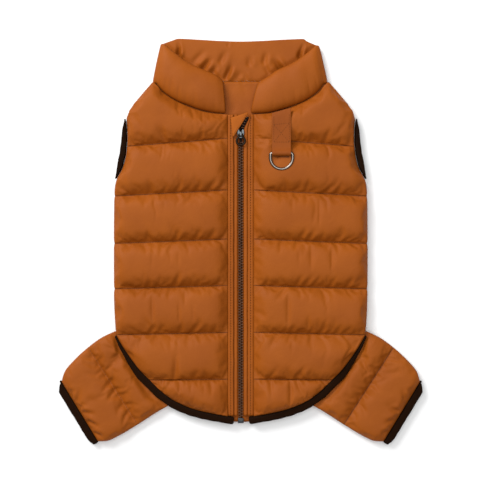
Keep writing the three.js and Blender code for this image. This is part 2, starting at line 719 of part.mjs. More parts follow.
// D-ring: a bar, two corners, two arms and a half circle, of round wire

function ringPath() {
  const path = [];
  const arc = (x, y, radius, from, to, steps) => {
    for (let i = 0; i <= steps; i += 1) {
      const angle = mix(from, to, i / steps);
      path.push([x + radius * Math.cos(angle), y + radius * Math.sin(angle)]);
    }
  };
  const quarter = Math.PI / 2;
  arc(-RING.half + RING.corner, -RING.corner, RING.corner, 2 * quarter, quarter, 3);
  arc(RING.half - RING.corner, -RING.corner, RING.corner, quarter, 0, 3);
  arc(0, -RING.armEnd, RING.half, 0, -2 * quarter, 12);
  return path;
}

function addRing() {
  const sides = 8;
  const path = ringPath();
  const sections = path.map(([x, y], i) => {
    const next = path[(i + 1) % path.length];
    const before = path[(i + path.length - 1) % path.length];
    const along = new THREE.Vector2(next[0] - before[0], next[1] - before[1]).normalize();
    const drop = (RING.drop * y) / (RING.half + RING.armEnd);
    return Array.from({ length: sides }, (unused, k) => {
      const angle = ((k + 0.5) / sides) * 2 * Math.PI;
      const aside = RING.wire * Math.cos(angle);
      return [
        STRAP.x + x - along.y * aside,
        RING.y + y + along.x * aside,
        RING.z + drop + RING.wire * Math.sin(angle),
      ];
    });
  });
  addLoft('d_ring', sections, true, gunmetal);
}

addBack();
addFront('front_left', -1);
addFront('front_right', 1);
addLeg(-1, 'left');
addLeg(1, 'right');
addCollar();
addPlacket('placket_left', -1);
addPlacket('placket_right', 1);
addZip();
addFlatLoop('armhole_binding_left', -1, ARMHOLE, ARMHOLE_LEVELS, elastic);
addFlatLoop('armhole_binding_right', 1, ARMHOLE, ARMHOLE_LEVELS, elastic);
addHemBinding('hem_binding_left', -1, 6.9);
addHemBinding('hem_binding_right', 1, 8.1);
addCuff('cuff_left', -1);
addCuff('cuff_right', 1);
addStrap();
addRing();

export default coat;
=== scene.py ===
# %% [markdown]
# A quilted winter coat for a dog, laid flat on its back with the zip side up.
# The frame gives the real sizes and places of its pieces. This file gives them their looks.
# Lengths in the tables are millimetres. X runs across the coat, Y from hem to collar, Z up.

# %% The frame
import math
import random

import bmesh
import bpy
from mathutils import Matrix, Vector, noise
from mathutils.bvhtree import BVHTree


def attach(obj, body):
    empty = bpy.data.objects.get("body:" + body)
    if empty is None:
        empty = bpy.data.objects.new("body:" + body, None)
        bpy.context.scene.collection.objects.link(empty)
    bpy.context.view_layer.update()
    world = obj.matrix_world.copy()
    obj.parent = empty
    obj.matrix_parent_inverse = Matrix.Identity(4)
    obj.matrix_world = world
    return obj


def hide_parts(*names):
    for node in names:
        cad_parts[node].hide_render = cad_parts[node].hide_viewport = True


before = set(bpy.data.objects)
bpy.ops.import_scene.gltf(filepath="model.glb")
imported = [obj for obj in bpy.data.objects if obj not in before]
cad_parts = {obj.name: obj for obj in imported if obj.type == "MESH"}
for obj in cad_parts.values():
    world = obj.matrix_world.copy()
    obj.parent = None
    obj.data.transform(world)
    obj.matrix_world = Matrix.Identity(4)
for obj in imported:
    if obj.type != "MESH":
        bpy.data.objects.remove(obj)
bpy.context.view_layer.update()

MM = 0.001
SIDES = {"left": -1, "right": 1}
print("the frame has", len(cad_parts), "pieces")

# %% [markdown]
# A sewing pattern is a set of curves, so each outline is a short table of heights and half widths.
# Straight lines between the rows would show as corners on a soft coat. A smooth curve through the
# rows that never overshoots keeps the true outline and still looks cut from cloth.

# %% Reading an outline
def mix(a, b, t):
    return a + (b - a) * t


def clamp(t, low=0.0, high=1.0):
    return max(low, min(high, t))


def smooth(t):
    t = clamp(t)
    return t * t * (3 - 2 * t)


def dome(distance, reach):
    return math.sqrt(1 - (1 - clamp(distance / reach)) ** 2)


class Curve:
    """A smooth curve through (at, value) rows, level where the values turn back."""

    def __init__(self, rows):
        rows = list(rows)
        self.at = [row[0] for row in rows]
        self.value = [row[1] for row in rows]
        steps = range(len(rows) - 1)
        slope = [(self.value[i + 1] - self.value[i]) / (self.at[i + 1] - self.at[i]) for i in steps]
        self.lean = [slope[0]]
        for a, b in zip(slope, slope[1:]):
            self.lean.append(0.0 if a * b <= 0 else 2 * a * b / (a + b))
        self.lean.append(slope[-1])

    def __call__(self, at):
        at = clamp(at, self.at[0], self.at[-1])
        i = 0
        while i < len(self.at) - 2 and self.at[i + 1] < at:
            i += 1
        width = self.at[i + 1] - self.at[i]
        t = (at - self.at[i]) / width
        pull = self.lean[i] * width * t * (1 - t) ** 2 - self.lean[i + 1] * width * t * t * (1 - t)
        return mix(self.value[i], self.value[i + 1], smooth(t)) + pull


# %% [markdown]
# The front's outline is the same as the one its solid has: side, armhole and shoulder as |x| at a
# height, the hem and the neck seam as a height at |x|. Six quilt seams slope a little to the side.

# %% Outline and layers
ZIP_EDGE = 13.7
SIDE_X = 133.0
SIDE_LOW_X, SIDE_LOW_Y = 130.4, -98.8
SHOULDER_LOW_Y = 128.4
NECK_END_X, NECK_TRIM = 91.5, 0.2
BACK_TOP = 5.4
FRONT_UNDER = 5.7
SEAM_TOP = 9.0
PUFF = 8.2
LEG_LIFT, LEG_LIFT_START, LEG_LIFT_REACH = 2.1, -34, 18
FAR = 99

side_x = Curve([
    (SIDE_LOW_Y, SIDE_LOW_X), (-90, 131.5), (-50, 133.2), (0, 133.3), (48, 132.9), (61, 131.7),
    (66.8, 129.6), (77.2, 123.9), (92.1, 120.2), (106.5, 119.0), (119, 119.3), (129, 120.0),
])
HEM_ROWS = [
    (7.7, -184.6), (26.9, -181.3), (48.8, -176.2), (68.3, -168.1), (83, -157.8),
    (94.5, -146.6), (106, -135.2), (117.1, -120.5), (125.5, -107.9), (SIDE_LOW_X, SIDE_LOW_Y),
]
hem_y = Curve(HEM_ROWS)
hem_x = Curve([(y, x) for x, y in HEM_ROWS[4:]])
neck_y = Curve([
    (ZIP_EDGE, 133.4), (26.3, 134.2), (43, 137.4), (63, 145.1), (79.8, 154.8), (91.9, 167.7),
])
shoulder_y = Curve([(91.9, 168.0), (105.8, 152.1), (116, 138.7), (120.4, SHOULDER_LOW_Y)])
QUILT_SEAMS = [
    (108.2, 98.6), (53.9, 47.4), (2.3, -2.4), (-46.5, -50.0), (-95.8, -98.3), (-145.0, -145.8),
]
LEG_SEAM_LOW = Vector((60.5, -165.0))
LEG_SEAM_HIGH = Vector((130.7, -95.5))


def seam_y(seam, x):
    """Height of a quilt seam at x. A seam is its height at the zip and at the side."""
    return mix(seam[0], seam[1], (abs(x) - ZIP_EDGE) / (SIDE_X - ZIP_EDGE))


def beyond_leg_seam(x, y):
    """How far a point lies past the seam that joins the leg to the back."""
    along = (LEG_SEAM_HIGH - LEG_SEAM_LOW).normalized()
    return (abs(x) - LEG_SEAM_LOW.x) * along.y - (y - LEG_SEAM_LOW.y) * along.x


def front_lift(x, y):
    """How far the leg beneath it lifts the front."""
    return LEG_LIFT * smooth((beyond_leg_seam(x, y) - LEG_LIFT_START) / LEG_LIFT_REACH)


def top_y(x):
    return neck_y(x) - NECK_TRIM if x < NECK_END_X else shoulder_y(x)


# %% [markdown]
# A padded panel could be sculpted by hand, or sewn and inflated as in life. Here a fine grid is
# laid along the quilt seams first, so that every seam is a clean row of points, and its chambers
# swell afterwards. One helper makes a grid and gives each point its column and row.

# %% Grids
def grid(columns, rows):
    """A bmesh grid, and its vertices by (column, row)."""
    mesh = bmesh.new()
    mesh.verts.layers.float.new("along")
    bmesh.ops.create_grid(mesh, x_segments=columns, y_segments=rows, size=0.5)
    places = {}
    for vertex in mesh.verts:
        place = (round((vertex.co.x + 0.5) * columns), round((vertex.co.y + 0.5) * rows))
        places[place] = vertex
    return mesh, places


def finish_mesh(mesh, name, shade_smooth=True):
    """Turns a bmesh into an object that stands at the origin."""
    bmesh.ops.recalc_face_normals(mesh, faces=mesh.faces)
    data = bpy.data.meshes.new(name)
    for face in mesh.faces:
        face.smooth = shade_smooth
    mesh.to_mesh(data)
    mesh.free()
    piece = bpy.data.objects.new(name, data)
    bpy.context.scene.collection.objects.link(piece)
    return piece


# %% [markdown]
# Creases are placed one by one. Each starts on a quilt seam at x, runs away from it by `run` (up
# the coat if positive) and leans across by `lean`. It is a soft trough with a low ridge beside it,
# and no two are alike in length, depth or width, as in filled cloth that a seam has gathered.

# %% Creases of the fronts
CREASES = [
    # seam, x, run, lean, depth, width
    (0, -103, 8, 4, 0.8, 2.6), (0, -78, 7, -5, 0.9, 2.4), (0, -44, 9, 5, 0.6, 2.6),
    (0, 62, 9, 4, 0.5, 2.4), (0, 86, 9, 6, 0.9, 2.6), (0, 101, 6, 5, 0.7, 2.2),
    (1, -118, 9, -6, 0.8, 3.0), (1, -96, 12, 4, 1.1, 3.4), (1, -69, 12, 9, 1.5, 2.4),
    (1, -47, 12, 6, 1.3, 2.2), (1, -36, 14, 12, 1.6, 2.6), (1, -24, 11, 8, 0.9, 2.2),
    (1, -46, -16, -17, 0.9, 2.8), (1, 22, 12, -7, 0.7, 2.8), (1, 50, 13, -6, 0.8, 4.0),
    (1, 86, 9, 13, 1.3, 2.8), (1, 99, 8, 5, 0.9, 2.4), (1, 66, -7, 5, 0.5, 2.4),
    (2, -113, 6, -6, 0.7, 2.8), (2, -92, 7, -8, 0.8, 2.8), (2, -70, 14, 7, 1.6, 2.4),
    (2, -49, 13, 8, 1.3, 2.2), (2, -34, 12, 8, 1.5, 2.4), (2, -22, 6, 5, 0.8, 1.8),
    (2, -69, -12, -8, 0.9, 2.4), (2, 61, 15, 8, 1.6, 2.4), (2, 69, 14, 10, 1.5, 2.2),
    (2, 97, 7, 6, 1.0, 2.4), (2, 108, 6, 6, 0.8, 2.2), (2, 45, -8, -6, 0.8, 2.4),
    (2, 60, -10, -5, 0.9, 2.4), (2, 97, -7, 7, 0.8, 2.4), (2, 34, 9, -5, 0.7, 2.8),
    (3, -117, 5, 7, 0.7, 2.4), (3, -99, 9, 6, 1.0, 2.4), (3, -71, 17, 9, 1.8, 2.6),
    (3, -46, 8, 3, 0.9, 2.2), (3, -26, 8, 6, 1.0, 2.2), (3, -95, -9, -6, 0.8, 2.6),
    (3, -73, -13, -4, 1.0, 2.4), (3, 57, 13, 8, 1.5, 2.4), (3, 65, 15, 12, 1.6, 2.4),
    (3, 92, 9, 6, 1.1, 2.4), (3, 109, 9, 7, 0.9, 2.4), (3, 48, -10, -7, 0.9, 2.4),
    (3, 91, -8, 7, 0.9, 2.4), (3, 25, 8, 5, 0.7, 2.4),
    (4, -96, 12, 8, 1.3, 2.6), (4, -64, 12, 3, 0.8, 2.6), (4, -53, 13, 12, 1.7, 2.6),
    (4, -30, 8, 5, 0.8, 2.2), (4, -87, -7, -5, 0.8, 2.4), (4, -52, -8, -5, 0.8, 2.4),
    (4, -104, -6, 3, 0.6, 2.2), (4, 52, 10, 5, 1.0, 2.4), (4, 71, 7, 6, 0.9, 2.4),
    (4, 82, 9, 8, 1.5, 2.4), (4, 99, 6, 5, 0.9, 2.2), (4, 19, -10, 6, 0.9, 2.4),
    (4, 40, -22, -14, 1.1, 3.4), (4, 53, -9, -5, 0.9, 2.2), (4, 75, -12, -4, 0.9, 2.4),
    (5, -69, 33, 2, 1.3, 3.0), (5, -34, 10, -6, 0.8, 2.4), (5, -50, 12, 6, 0.8, 2.6),
    (5, -72, -9, -4, 1.3, 2.4), (5, -65, -13, 2, 0.8, 2.2), (5, -32, -14, 2, 0.8, 2.4),
    (5, 28, 16, 14, 1.6, 2.6), (5, 57, 16, 11, 1.7, 2.6), (5, 66, 9, -5, 0.9, 2.4),
    (5, 22, -11, 5, 0.9, 2.2), (5, 58, -14, 5, 1.0, 2.4), (5, 78, 9, 6, 0.8, 2.4),
    (5, 31, -27, 3, 1.4, 2.8), (5, 53, -25, -2, 0.8, 2.4),
]


CREASE_FAR_X, CREASE_FAR_Y = 32, 40
RIDGE_OFF, RIDGE_WIDE, RIDGE_SHARE = 1.9, 1.1, 0.45


def crease_lines(side):
    """The creases of one front, each as its foot, its step, its depth and its width."""
    lines = []
    for seam, x, run, lean, depth, width in CREASES:
        if x * side > 0:
            foot = Vector((x, seam_y(QUILT_SEAMS[seam], x)))
            lines.append((foot, Vector((lean, run)), depth, width))
    return lines


def small_puckers(side, seed):
    """Short gathers that the stitching pulls on both sides of every quilt seam."""
    draw = random.Random(seed)
    lines = []
    for seam in QUILT_SEAMS:
        x = ZIP_EDGE + draw.uniform(1, 6)
        while x < side_x(seam_y(seam, SIDE_X)):
            up = draw.choice((1, 1, -1))
            step = Vector((draw.uniform(-2.5, 4.0), up * draw.uniform(3.0, 8.0)))
            foot = Vector((side * x, seam_y(seam, x)))
            lines.append((foot, step, draw.uniform(0.15, 0.5), draw.uniform(1.2, 2.0)))
            x += draw.uniform(4.5, 12.0)
    return lines


def crease_depth(lines, x, y):
    """Depth of all creases at a point, each a trough with a ridge on its right."""
    depth = 0.0
    for foot, step, deep, width in lines:
        dx = x - foot.x
        dy = y - foot.y
        if abs(dx) > CREASE_FAR_X or abs(dy) > CREASE_FAR_Y:
            continue
        length = step.length
        along = (dx * step.x + dy * step.y) / length
        if along < -3 * width or along > length + 3 * width:
            continue
        across = (dx * step.y - dy * step.x) / length
        share = along / length
        fade = smooth((share + 0.12) / 0.3) * (1 - smooth((share - 0.35) / 0.75))
        trough = math.exp(-(across / width) ** 2)
        ridge = math.exp(-((across - RIDGE_OFF * width) / (RIDGE_WIDE * width)) ** 2)
        depth += deep * fade * (trough - RIDGE_SHARE * ridge)
    return depth


print("creases placed by hand:", len(CREASES))

# %% [markdown]
# The front panels. A puffer's chamber is a tube of cloth that the filling pushes out between two
# seams. The rows of the grid run with the seams, fan out to the shoulder and close in on the
# rounded hem, so the outline is cut exactly and no stitch line crosses a face.

# %% Rows of a front
COLUMNS = 56
HEM_CORNER_X, HEM_END_X = 95.6, 130
HEM_STEPS, CHAMBER_STEPS, SHOULDER_STEPS = 18, 22, 28
TOP_SLOPE, SHOULDER_X = 1.25, 120.0
INNER_REACH, EDGE_REACH, SEAM_REACH, CREASE_FADE = 34, 15, 24, 4
SIDE_PULL, SIDE_PULL_REACH, SIDE_PULL_LOW, SIDE_PULL_HIGH = 0.9, 9, -95, 62
STRAP_EDGE_X = 34.0
TOP_SEAM_AWAY, TOP_SEAM_FADE = 14, 6


def outer_x(y):
    return side_x(y) if y > SIDE_LOW_Y else hem_x(y)


def row_end(height, turns=12):
    """The x where a row meets the outline, found in a few steps from the widest place."""
    end = SIDE_X
    for turn in range(turns):
        end = mix(end, outer_x(height(end)), 0.7)
    return end


def seam_distance(x, y, side=-1):
    """How far a point lies from a quilt seam. Between the zip and the strap the top seam stops."""
    near = [abs(y - seam_y(seam, x)) for seam in QUILT_SEAMS]
    if side > 0:
        near[0] += TOP_SEAM_AWAY * (1 - smooth((abs(x) - STRAP_EDGE_X) / TOP_SEAM_FADE))
    return min(near)


def segment_distance(x, y, start, end):
    run = end - start
    share = clamp((Vector((x, y)) - start).dot(run) / run.length_squared)
    return (Vector((x, y)) - start - run * share).length


def closer_at_seams(t, share=0.6):
    """Moves the rows of a chamber towards its two seams, where the cloth bends most."""
    return t - share * math.sin(2 * math.pi * t) / (2 * math.pi)


def front_rows():
    """Each row of a front from hem to neck: its height at x, its outer end, and if it is sewn."""
    low = QUILT_SEAMS[-1]
    rows = []
    for step in range(HEM_STEPS):
        t = 1 - closer_at_seams(step / HEM_STEPS)
        rows.append((lambda x, t=t: mix(seam_y(low, x), hem_y(x), t), HEM_CORNER_X, step == 0))
    for upper, lower in zip(QUILT_SEAMS[-2::-1], QUILT_SEAMS[:0:-1]):
        for step in range(CHAMBER_STEPS):
            t = closer_at_seams(step / CHAMBER_STEPS)

            def height(x, t=t, upper=upper, lower=lower):
                return mix(seam_y(lower, x), seam_y(upper, x), t)

            rows.append((height, row_end(height), step == 0))
    high = QUILT_SEAMS[0]
    for step in range(SHOULDER_STEPS + 1):
        t = closer_at_seams(step / SHOULDER_STEPS)

        def height(x, t=t):
            return mix(seam_y(high, x), top_y(x), t)

        end = SHOULDER_X
        for turn in range(8):
            end = side_x(height(end))
        rows.append((height, end, step in (0, SHOULDER_STEPS)))
    return rows


def front_edge_distance(x, y, end):
    """How far a point of a front lies from the front's outline."""
    hem_slope = (hem_y(min(x + 1, HEM_END_X)) - hem_y(min(x, HEM_END_X - 1))) if y < -90 else 0
    to_hem = (y - hem_y(x)) / math.sqrt(1 + hem_slope ** 2) if x < HEM_END_X else FAR
    to_top = (top_y(x) - y) / TOP_SLOPE if y > 100 else FAR
    return max(0.0, min(x - ZIP_EDGE, end - x, to_hem, to_top))


def front_height(x, y, end, lines, side):
    """Height of a front's outer face in millimetres."""
    lift = front_lift(x, y)
    to_edge = front_edge_distance(x, y, end)
    fill = 1 + 0.10 * noise.noise(Vector((side * x / 45, y / 30, 3.1)))
    sewn = dome(to_edge, EDGE_REACH) * dome(x - ZIP_EDGE, INNER_REACH)
    swell = (PUFF - 0.5 * lift) * dome(seam_distance(x, y, side), SEAM_REACH) * sewn * fill
    away = smooth(to_edge / CREASE_FADE)
    return SEAM_TOP + lift + swell - away * crease_depth(lines, side * x, y)


def front_mesh(side, seed):
    """The outer face of a front as an open grid, and the vertices that are sewn down."""
    rows = front_rows()
    lines = crease_lines(side) + small_puckers(side, seed)
    mesh, places = grid(COLUMNS, len(rows) - 1)
    for (column, row), vertex in places.items():
        height, end, _ = rows[row]
        x = mix(ZIP_EDGE, end, column / COLUMNS)
        y = height(x)
        if SIDE_PULL_LOW < y < SIDE_PULL_HIGH:
            pulled = 1 - dome(seam_distance(x, y, side), SIDE_PULL_REACH)
            x -= SIDE_PULL * pulled * smooth((column / COLUMNS - 0.9) * 10)
        vertex.co = Vector((side * x, y, front_height(x, y, end, lines, side)))
    mesh.verts.index_update()
    sewn = [v.index for place, v in places.items() if rows[place[1]][2] or place[0] in (0, COLUMNS)]
    return mesh, sewn


# %% [markdown]
# Filling pushes the cloth out and the cloth is a little too long for its seams, so it buckles next
# to the stitching. Sculpting every buckle would take days. Blender's Cloth with a small pressure,
# cloth that has grown by a few per cent and seams that are pinned finds them in seconds. It runs at
# ten times the size, where its own distances behave, and the result goes back to the real size.

# %% Swelling the cloth
SIM_SCALE = 10.0
CLOTH = {
    "quality": 6, "mass": 0.2, "air_damping": 4.0, "bending_stiffness": 0.06,
    "tension_damping": 8.0, "compression_damping": 8.0, "bending_damping": 0.8,
    "vertex_group_mass": "sewn", "use_pressure": True,
}


def evaluated(piece):
    """The piece as its modifiers leave it."""
    return piece.evaluated_get(bpy.context.evaluated_depsgraph_get())


def swell_cloth(piece, sewn, growth=0.05, pressure=1.2, frames=18, cap=2.2, stiffness=25.0):
    """Lets the cloth of an open grid swell between its sewn vertices. Lengths are millimetres."""
    start = [vertex.co.copy() for vertex in piece.data.vertices]
    for vertex in piece.data.vertices:
        vertex.co *= SIM_SCALE * MM
    group = piece.vertex_groups.new(name="sewn")
    group.add(sewn, 1.0, "REPLACE")
    cloth = piece.modifiers.new("cloth", "CLOTH")
    settings = cloth.settings
    for key, value in CLOTH.items():
        setattr(settings, key, value)
    settings.tension_stiffness = settings.compression_stiffness = stiffness
    settings.shear_stiffness = stiffness * 0.5
    settings.shrink_min = -growth
    settings.uniform_pressure_force = pressure
    settings.effector_weights.gravity = 0.0
    cloth.collision_settings.use_collision = False
    scene = bpy.context.scene
    for frame_number in range(1, frames + 1):
        scene.frame_set(frame_number)
    moved = [vertex.co.copy() / (SIM_SCALE * MM) for vertex in evaluated(piece).data.vertices]
    piece.modifiers.remove(cloth)
    farthest = 0.0
    for vertex, before, after in zip(piece.data.vertices, start, moved):
        step = after - before
        farthest = max(farthest, step.length)
        if step.length > cap:
            step *= cap / step.length
        vertex.co = before + step
    scene.frame_set(1)
    print(piece.name, "swelled by up to", round(farthest, 2), "mm")


# %% [markdown]
# A swelled face alone would be as thin as paper and open beneath. So it is smoothed once, its edge
# is carried down to the layer that it lies on, and a plain underside closes it. Its stitched lines
# are stored on its points as a mark, which the cloth's material paints as shade.

# %% Closing a pad
def verts_of(made):
    return [item for item in made if isinstance(item, bmesh.types.BMVert)]


def closed_pad(piece, under, refine=1):
    """Smooths an open outer face and closes it with walls and a plain underside."""
    if refine:
        smoothing = piece.modifiers.new("smooth", "SUBSURF")
        smoothing.levels = smoothing.render_levels = refine
        fine = bpy.data.meshes.new_from_object(evaluated(piece))
        piece.modifiers.remove(smoothing)
        piece.data = fine
    mesh = bmesh.new()
    mesh.from_mesh(piece.data)
    edges = [edge for edge in mesh.edges if edge.is_boundary]
    walls = bmesh.ops.extrude_edge_only(mesh, edges=edges)["geom"]
    for vertex in verts_of(walls):
        vertex.co.z = under(vertex.co.x, vertex.co.y)
    rim = [item for item in walls if isinstance(item, bmesh.types.BMEdge) and item.is_boundary]
    floor_faces = bmesh.ops.edgeloop_fill(mesh, edges=rim)["faces"]
    bmesh.ops.triangulate(mesh, faces=floor_faces, ngon_method="EAR_CLIP")
    bmesh.ops.recalc_face_normals(mesh, faces=mesh.faces)
    for face in mesh.faces:
        face.smooth = True
    mesh.to_mesh(piece.data)
    mesh.free()


def to_metres(piece):
    for vertex in piece.data.vertices:
        vertex.co *= MM


def mark_painted_shade(piece, distance, width=0.5):
    """Stores how near each point lies to a line of painted shade, such as a stitched groove, from 0
    to 1, for the cloth's material.
    """
    marks = piece.data.attributes.new("seam", "FLOAT", "POINT")
    for vertex, mark in zip(piece.data.vertices, marks.data):
        mark.value = math.exp(-(distance(vertex.co.x, vertex.co.y) / width) ** 2)


# %% [markdown]
# Now each front is laid out, swelled, closed and set in the frame. Setting a piece in the frame
# means that it is turned to metres, rides on its body and stands for its node.

# %% Fronts
# The line below the strap's fold, where the strap's shadow is painted on the right front.
STRAP_SHADOW_LINE = (Vector((34.5, 88.2)), Vector((50.5, 88.2)))


def facing_up(piece):
    """Turns an open sheet over if its faces point at the floor."""
    if sum(face.normal.z for face in piece.data.polygons) < 0:
        piece.data.flip_normals()
    return piece


def dress(piece, node, body="coat"):
    """Sets a finished piece in the frame in place of its node."""
    to_metres(piece)
    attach(piece, body)
    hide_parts(node)
    return piece


def strap_shadow_distance(x, y):
    """How far a point lies from the line below the strap's fold, where its shadow is painted on the
    cloth.
    """
    return segment_distance(x, y, *STRAP_SHADOW_LINE)


fronts = {}
for word, side in SIDES.items():
    mesh, sewn = front_mesh(side, seed=11 + side)
    piece = facing_up(finish_mesh(mesh, f"front_{word}_quilted"))
    swell_cloth(piece, sewn)
    closed_pad(piece, lambda x, y: FRONT_UNDER + front_lift(x, y))
    # The quilt seams and the strap's shadow below its fold are painted on as shade.
    mark_painted_shade(piece, lambda x, y: min(seam_distance(x, y, side), strap_shadow_distance(x, y)))
    dress(piece, f"front_{word}")
    fronts[word] = piece
    print(piece.name, len(piece.data.polygons), "faces")

# %% [markdown]
# The legs. Each is a flattened tube, one quilt seam across it. The upper wall is a padded panel as
# the fronts are, pinned at its outline, its quilt seam and its cuff. The under wall lies flat.

# %% Legs
LEG_UNDER_TOP = 4.0
LEG_TOP_UNDER = 4.3
LEG_HIDDEN_TOP = 7.4
LEG_PUFF = 5.6
LEG_COLUMNS, LEG_ROWS = 44, 48
LEG_HIDDEN_ROWS, LEG_QUILT_ROW = 9, 24
LEG_WIDTH, LEG_LENGTH = 96.0, 90.0
HEM_OUTER_X = 132.8
LEG_EDGE_REACH, LEG_QUILT_REACH, LEG_CUFF_REACH, LEG_HEM_REACH, LEG_HEM_GAP = 16, 22, 14, 12, 3
UNDER_EDGE, UNDER_EDGE_REACH = 1.5, 5
UNDER_GROOVE, UNDER_GROOVE_REACH = 0.8, 9
LEG_ALONG = [0, 0.25, 0.5, 0.75, 0.9, 1]
leg_up_x = Curve(zip(LEG_ALONG, [131.8, 146.5, 160.5, 176.5, 185.5, 188.6]))
leg_up_y = Curve(zip(LEG_ALONG, [-94.6, -101.5, -111.6, -126.4, -137.7, -147.6]))
leg_low_x = Curve(zip(LEG_ALONG, [62.3, 85.5, 108.3, 128.8, 142.2, 150.2]))
leg_low_y = Curve(zip(LEG_ALONG, [-165.6, -178.2, -192.7, -204.9, -210.4, -210.6]))
hem_outer_y = Curve([
    (0, -193), (8.4, -192.8), (27, -190.3), (46.2, -186.4), (62, -180.4), (76.7, -173.6),
    (87.7, -167.1), (99.2, -156.8), (109.2, -143.1), (116.6, -131.6), (123.9, -119.5),
    (130.2, -109), (HEM_OUTER_X, SIDE_LOW_Y),
])
LEG_CREASES = [
    # along the quilt seam from its upper end, run, lean, depth, width
    (0.08, 6, 3, 0.8, 1.7), (0.15, 8, -4, 1.1, 1.7), (0.22, 6, 4, 1.3, 1.7),
    (0.29, 9, 3, 1.3, 1.8), (0.36, 6, -4, 1.3, 1.6), (0.43, 9, 4, 1.5, 1.8),
    (0.5, 7, -3, 1.5, 1.7), (0.56, 10, 5, 1.7, 1.9), (0.63, 7, -4, 1.5, 1.7),
    (0.7, 9, 3, 1.5, 1.8), (0.77, 7, -3, 1.4, 1.6), (0.84, 8, 4, 1.2, 1.7),
    (0.92, 5, -2, 0.9, 1.6), (0.12, -6, 3, 0.9, 1.6), (0.19, -7, -3, 1.2, 1.7),
    (0.27, -6, 4, 1.2, 1.6), (0.34, -9, -3, 1.4, 1.8), (0.41, -6, 3, 1.4, 1.6),
    (0.48, -8, -4, 1.6, 1.8), (0.55, -6, 3, 1.4, 1.6), (0.62, -9, 4, 1.6, 1.9),
    (0.69, -6, -3, 1.4, 1.6), (0.76, -8, 3, 1.4, 1.7), (0.83, -6, -4, 1.2, 1.6),
    (0.9, -5, 2, 0.9, 1.6),
]
# The right leg's seam mark fades less, so its seam is painted darker as shade.
LEG_SEAM_FADE = {"left": 0.8, "right": 0.1}
LEG_FOLDS = {
    # foot x and y, step x and y, depth, width: gathers at the cuff and the dimple by the hem
    "left": [
        (-170.7, -168.9, 3.1, 16.4, 1.7, 2.4), (-165.9, -179, 14.4, -2.1, 2.2, 2.2),
        (-161.1, -188.2, 13, -7, 1.7, 2.2), (-154.2, -200.3, 10.5, -4.3, 1.4, 2.2),
        (-161, -166.4, 16, 0, 0.9, 3.6), (-131.5, -118.4, 6.5, -12.5, 2.2, 3.4),
        (-176, -158.5, 6, 5, 0.8, 2.0), (-150.5, -204, 5, 3, 0.9, 1.8),
    ],
    "right": [
        (172.5, -166.5, -5, 13, 1.5, 2.4), (166, -178, -12, 3, 1.9, 2.2),
        (161.5, -187, -13, -3, 1.5, 2.4), (155.5, -199, -9, -2, 1.3, 2.2),
        (163, -170, -14, -4, 0.8, 3.4), (131, -120, -6, -12, 1.8, 3.4),
        (178, -157, -7, 3, 0.9, 2.0), (151, -205, -4, 5, 0.8, 1.8),
    ],
}


def leg_point(along, across):
    """A place on the leg. along runs down to the cuff, across from the upper to the lower edge."""
    x = mix(leg_up_x(along), leg_low_x(along), across)
    return x, mix(leg_up_y(along), leg_low_y(along), across)


LEG_QUILT_TOP, LEG_QUILT_LOW = Vector(leg_point(0.5, 0)), Vector(leg_point(0.5, 1))
LEG_QUILT_RUN = (LEG_QUILT_LOW - LEG_QUILT_TOP).normalized()


def leg_seam_distance(x, y):
    away = Vector((abs(x), y)) - LEG_QUILT_TOP
    return abs(away.x * LEG_QUILT_RUN.y - away.y * LEG_QUILT_RUN.x)


def creases_of(rows, side=1):
    """Rows of foot x and y, step x and y, depth and width as creases, mirrored for side -1."""
    return [
        (Vector((side * x, y)), Vector((side * step_x, step_y)), depth, width)
        for x, y, step_x, step_y, depth, width in rows
    ]


def leg_creases(word, side, seed):
    """Puckers along the quilt seam, and folds that the elastic pulls at the cuff."""
    draw = random.Random(seed)
    lines = []
    out = Vector((-LEG_QUILT_RUN.y, LEG_QUILT_RUN.x))
    for at, run, lean, depth, width in LEG_CREASES:
        foot = LEG_QUILT_TOP.lerp(LEG_QUILT_LOW, clamp(at + draw.uniform(-0.02, 0.02)))
        step = out * run * draw.uniform(0.7, 1.4) + LEG_QUILT_RUN * lean
        lines.append((foot, step, depth, width))
    return lines + creases_of(LEG_FOLDS[word], side)


def leg_height(x, y, along, across, lines):
    """Height of a leg's upper wall. What lies under the front's hem stays flat."""
    past_hem = hem_outer_y(min(x, HEM_OUTER_X)) - y + max(0.0, x - HEM_OUTER_X)
    to_edge = min(across, 1 - across) * LEG_WIDTH
    fill = dome(to_edge, LEG_EDGE_REACH)
    fill *= dome(abs(along - 0.5) * LEG_LENGTH, LEG_QUILT_REACH)
    fill *= dome((1 - along) * LEG_LENGTH, LEG_CUFF_REACH)
    fill *= dome(past_hem - LEG_HEM_GAP, LEG_HEM_REACH)
    away = smooth(min(to_edge, past_hem) / CREASE_FADE)
    return LEG_HIDDEN_TOP + LEG_PUFF * fill - away * crease_depth(lines, x, y)


print("puckers along each leg's seam:", len(LEG_CREASES))

# %% [markdown]
# The upper wall of a leg is laid out, swelled and closed as a front is. What lies under the hem is
# held still, so that it doesn't push through the front. The under wall is a flat pad, rounded where
# it leaves the floor, and it needs no simulation because nearly nothing of it shows.

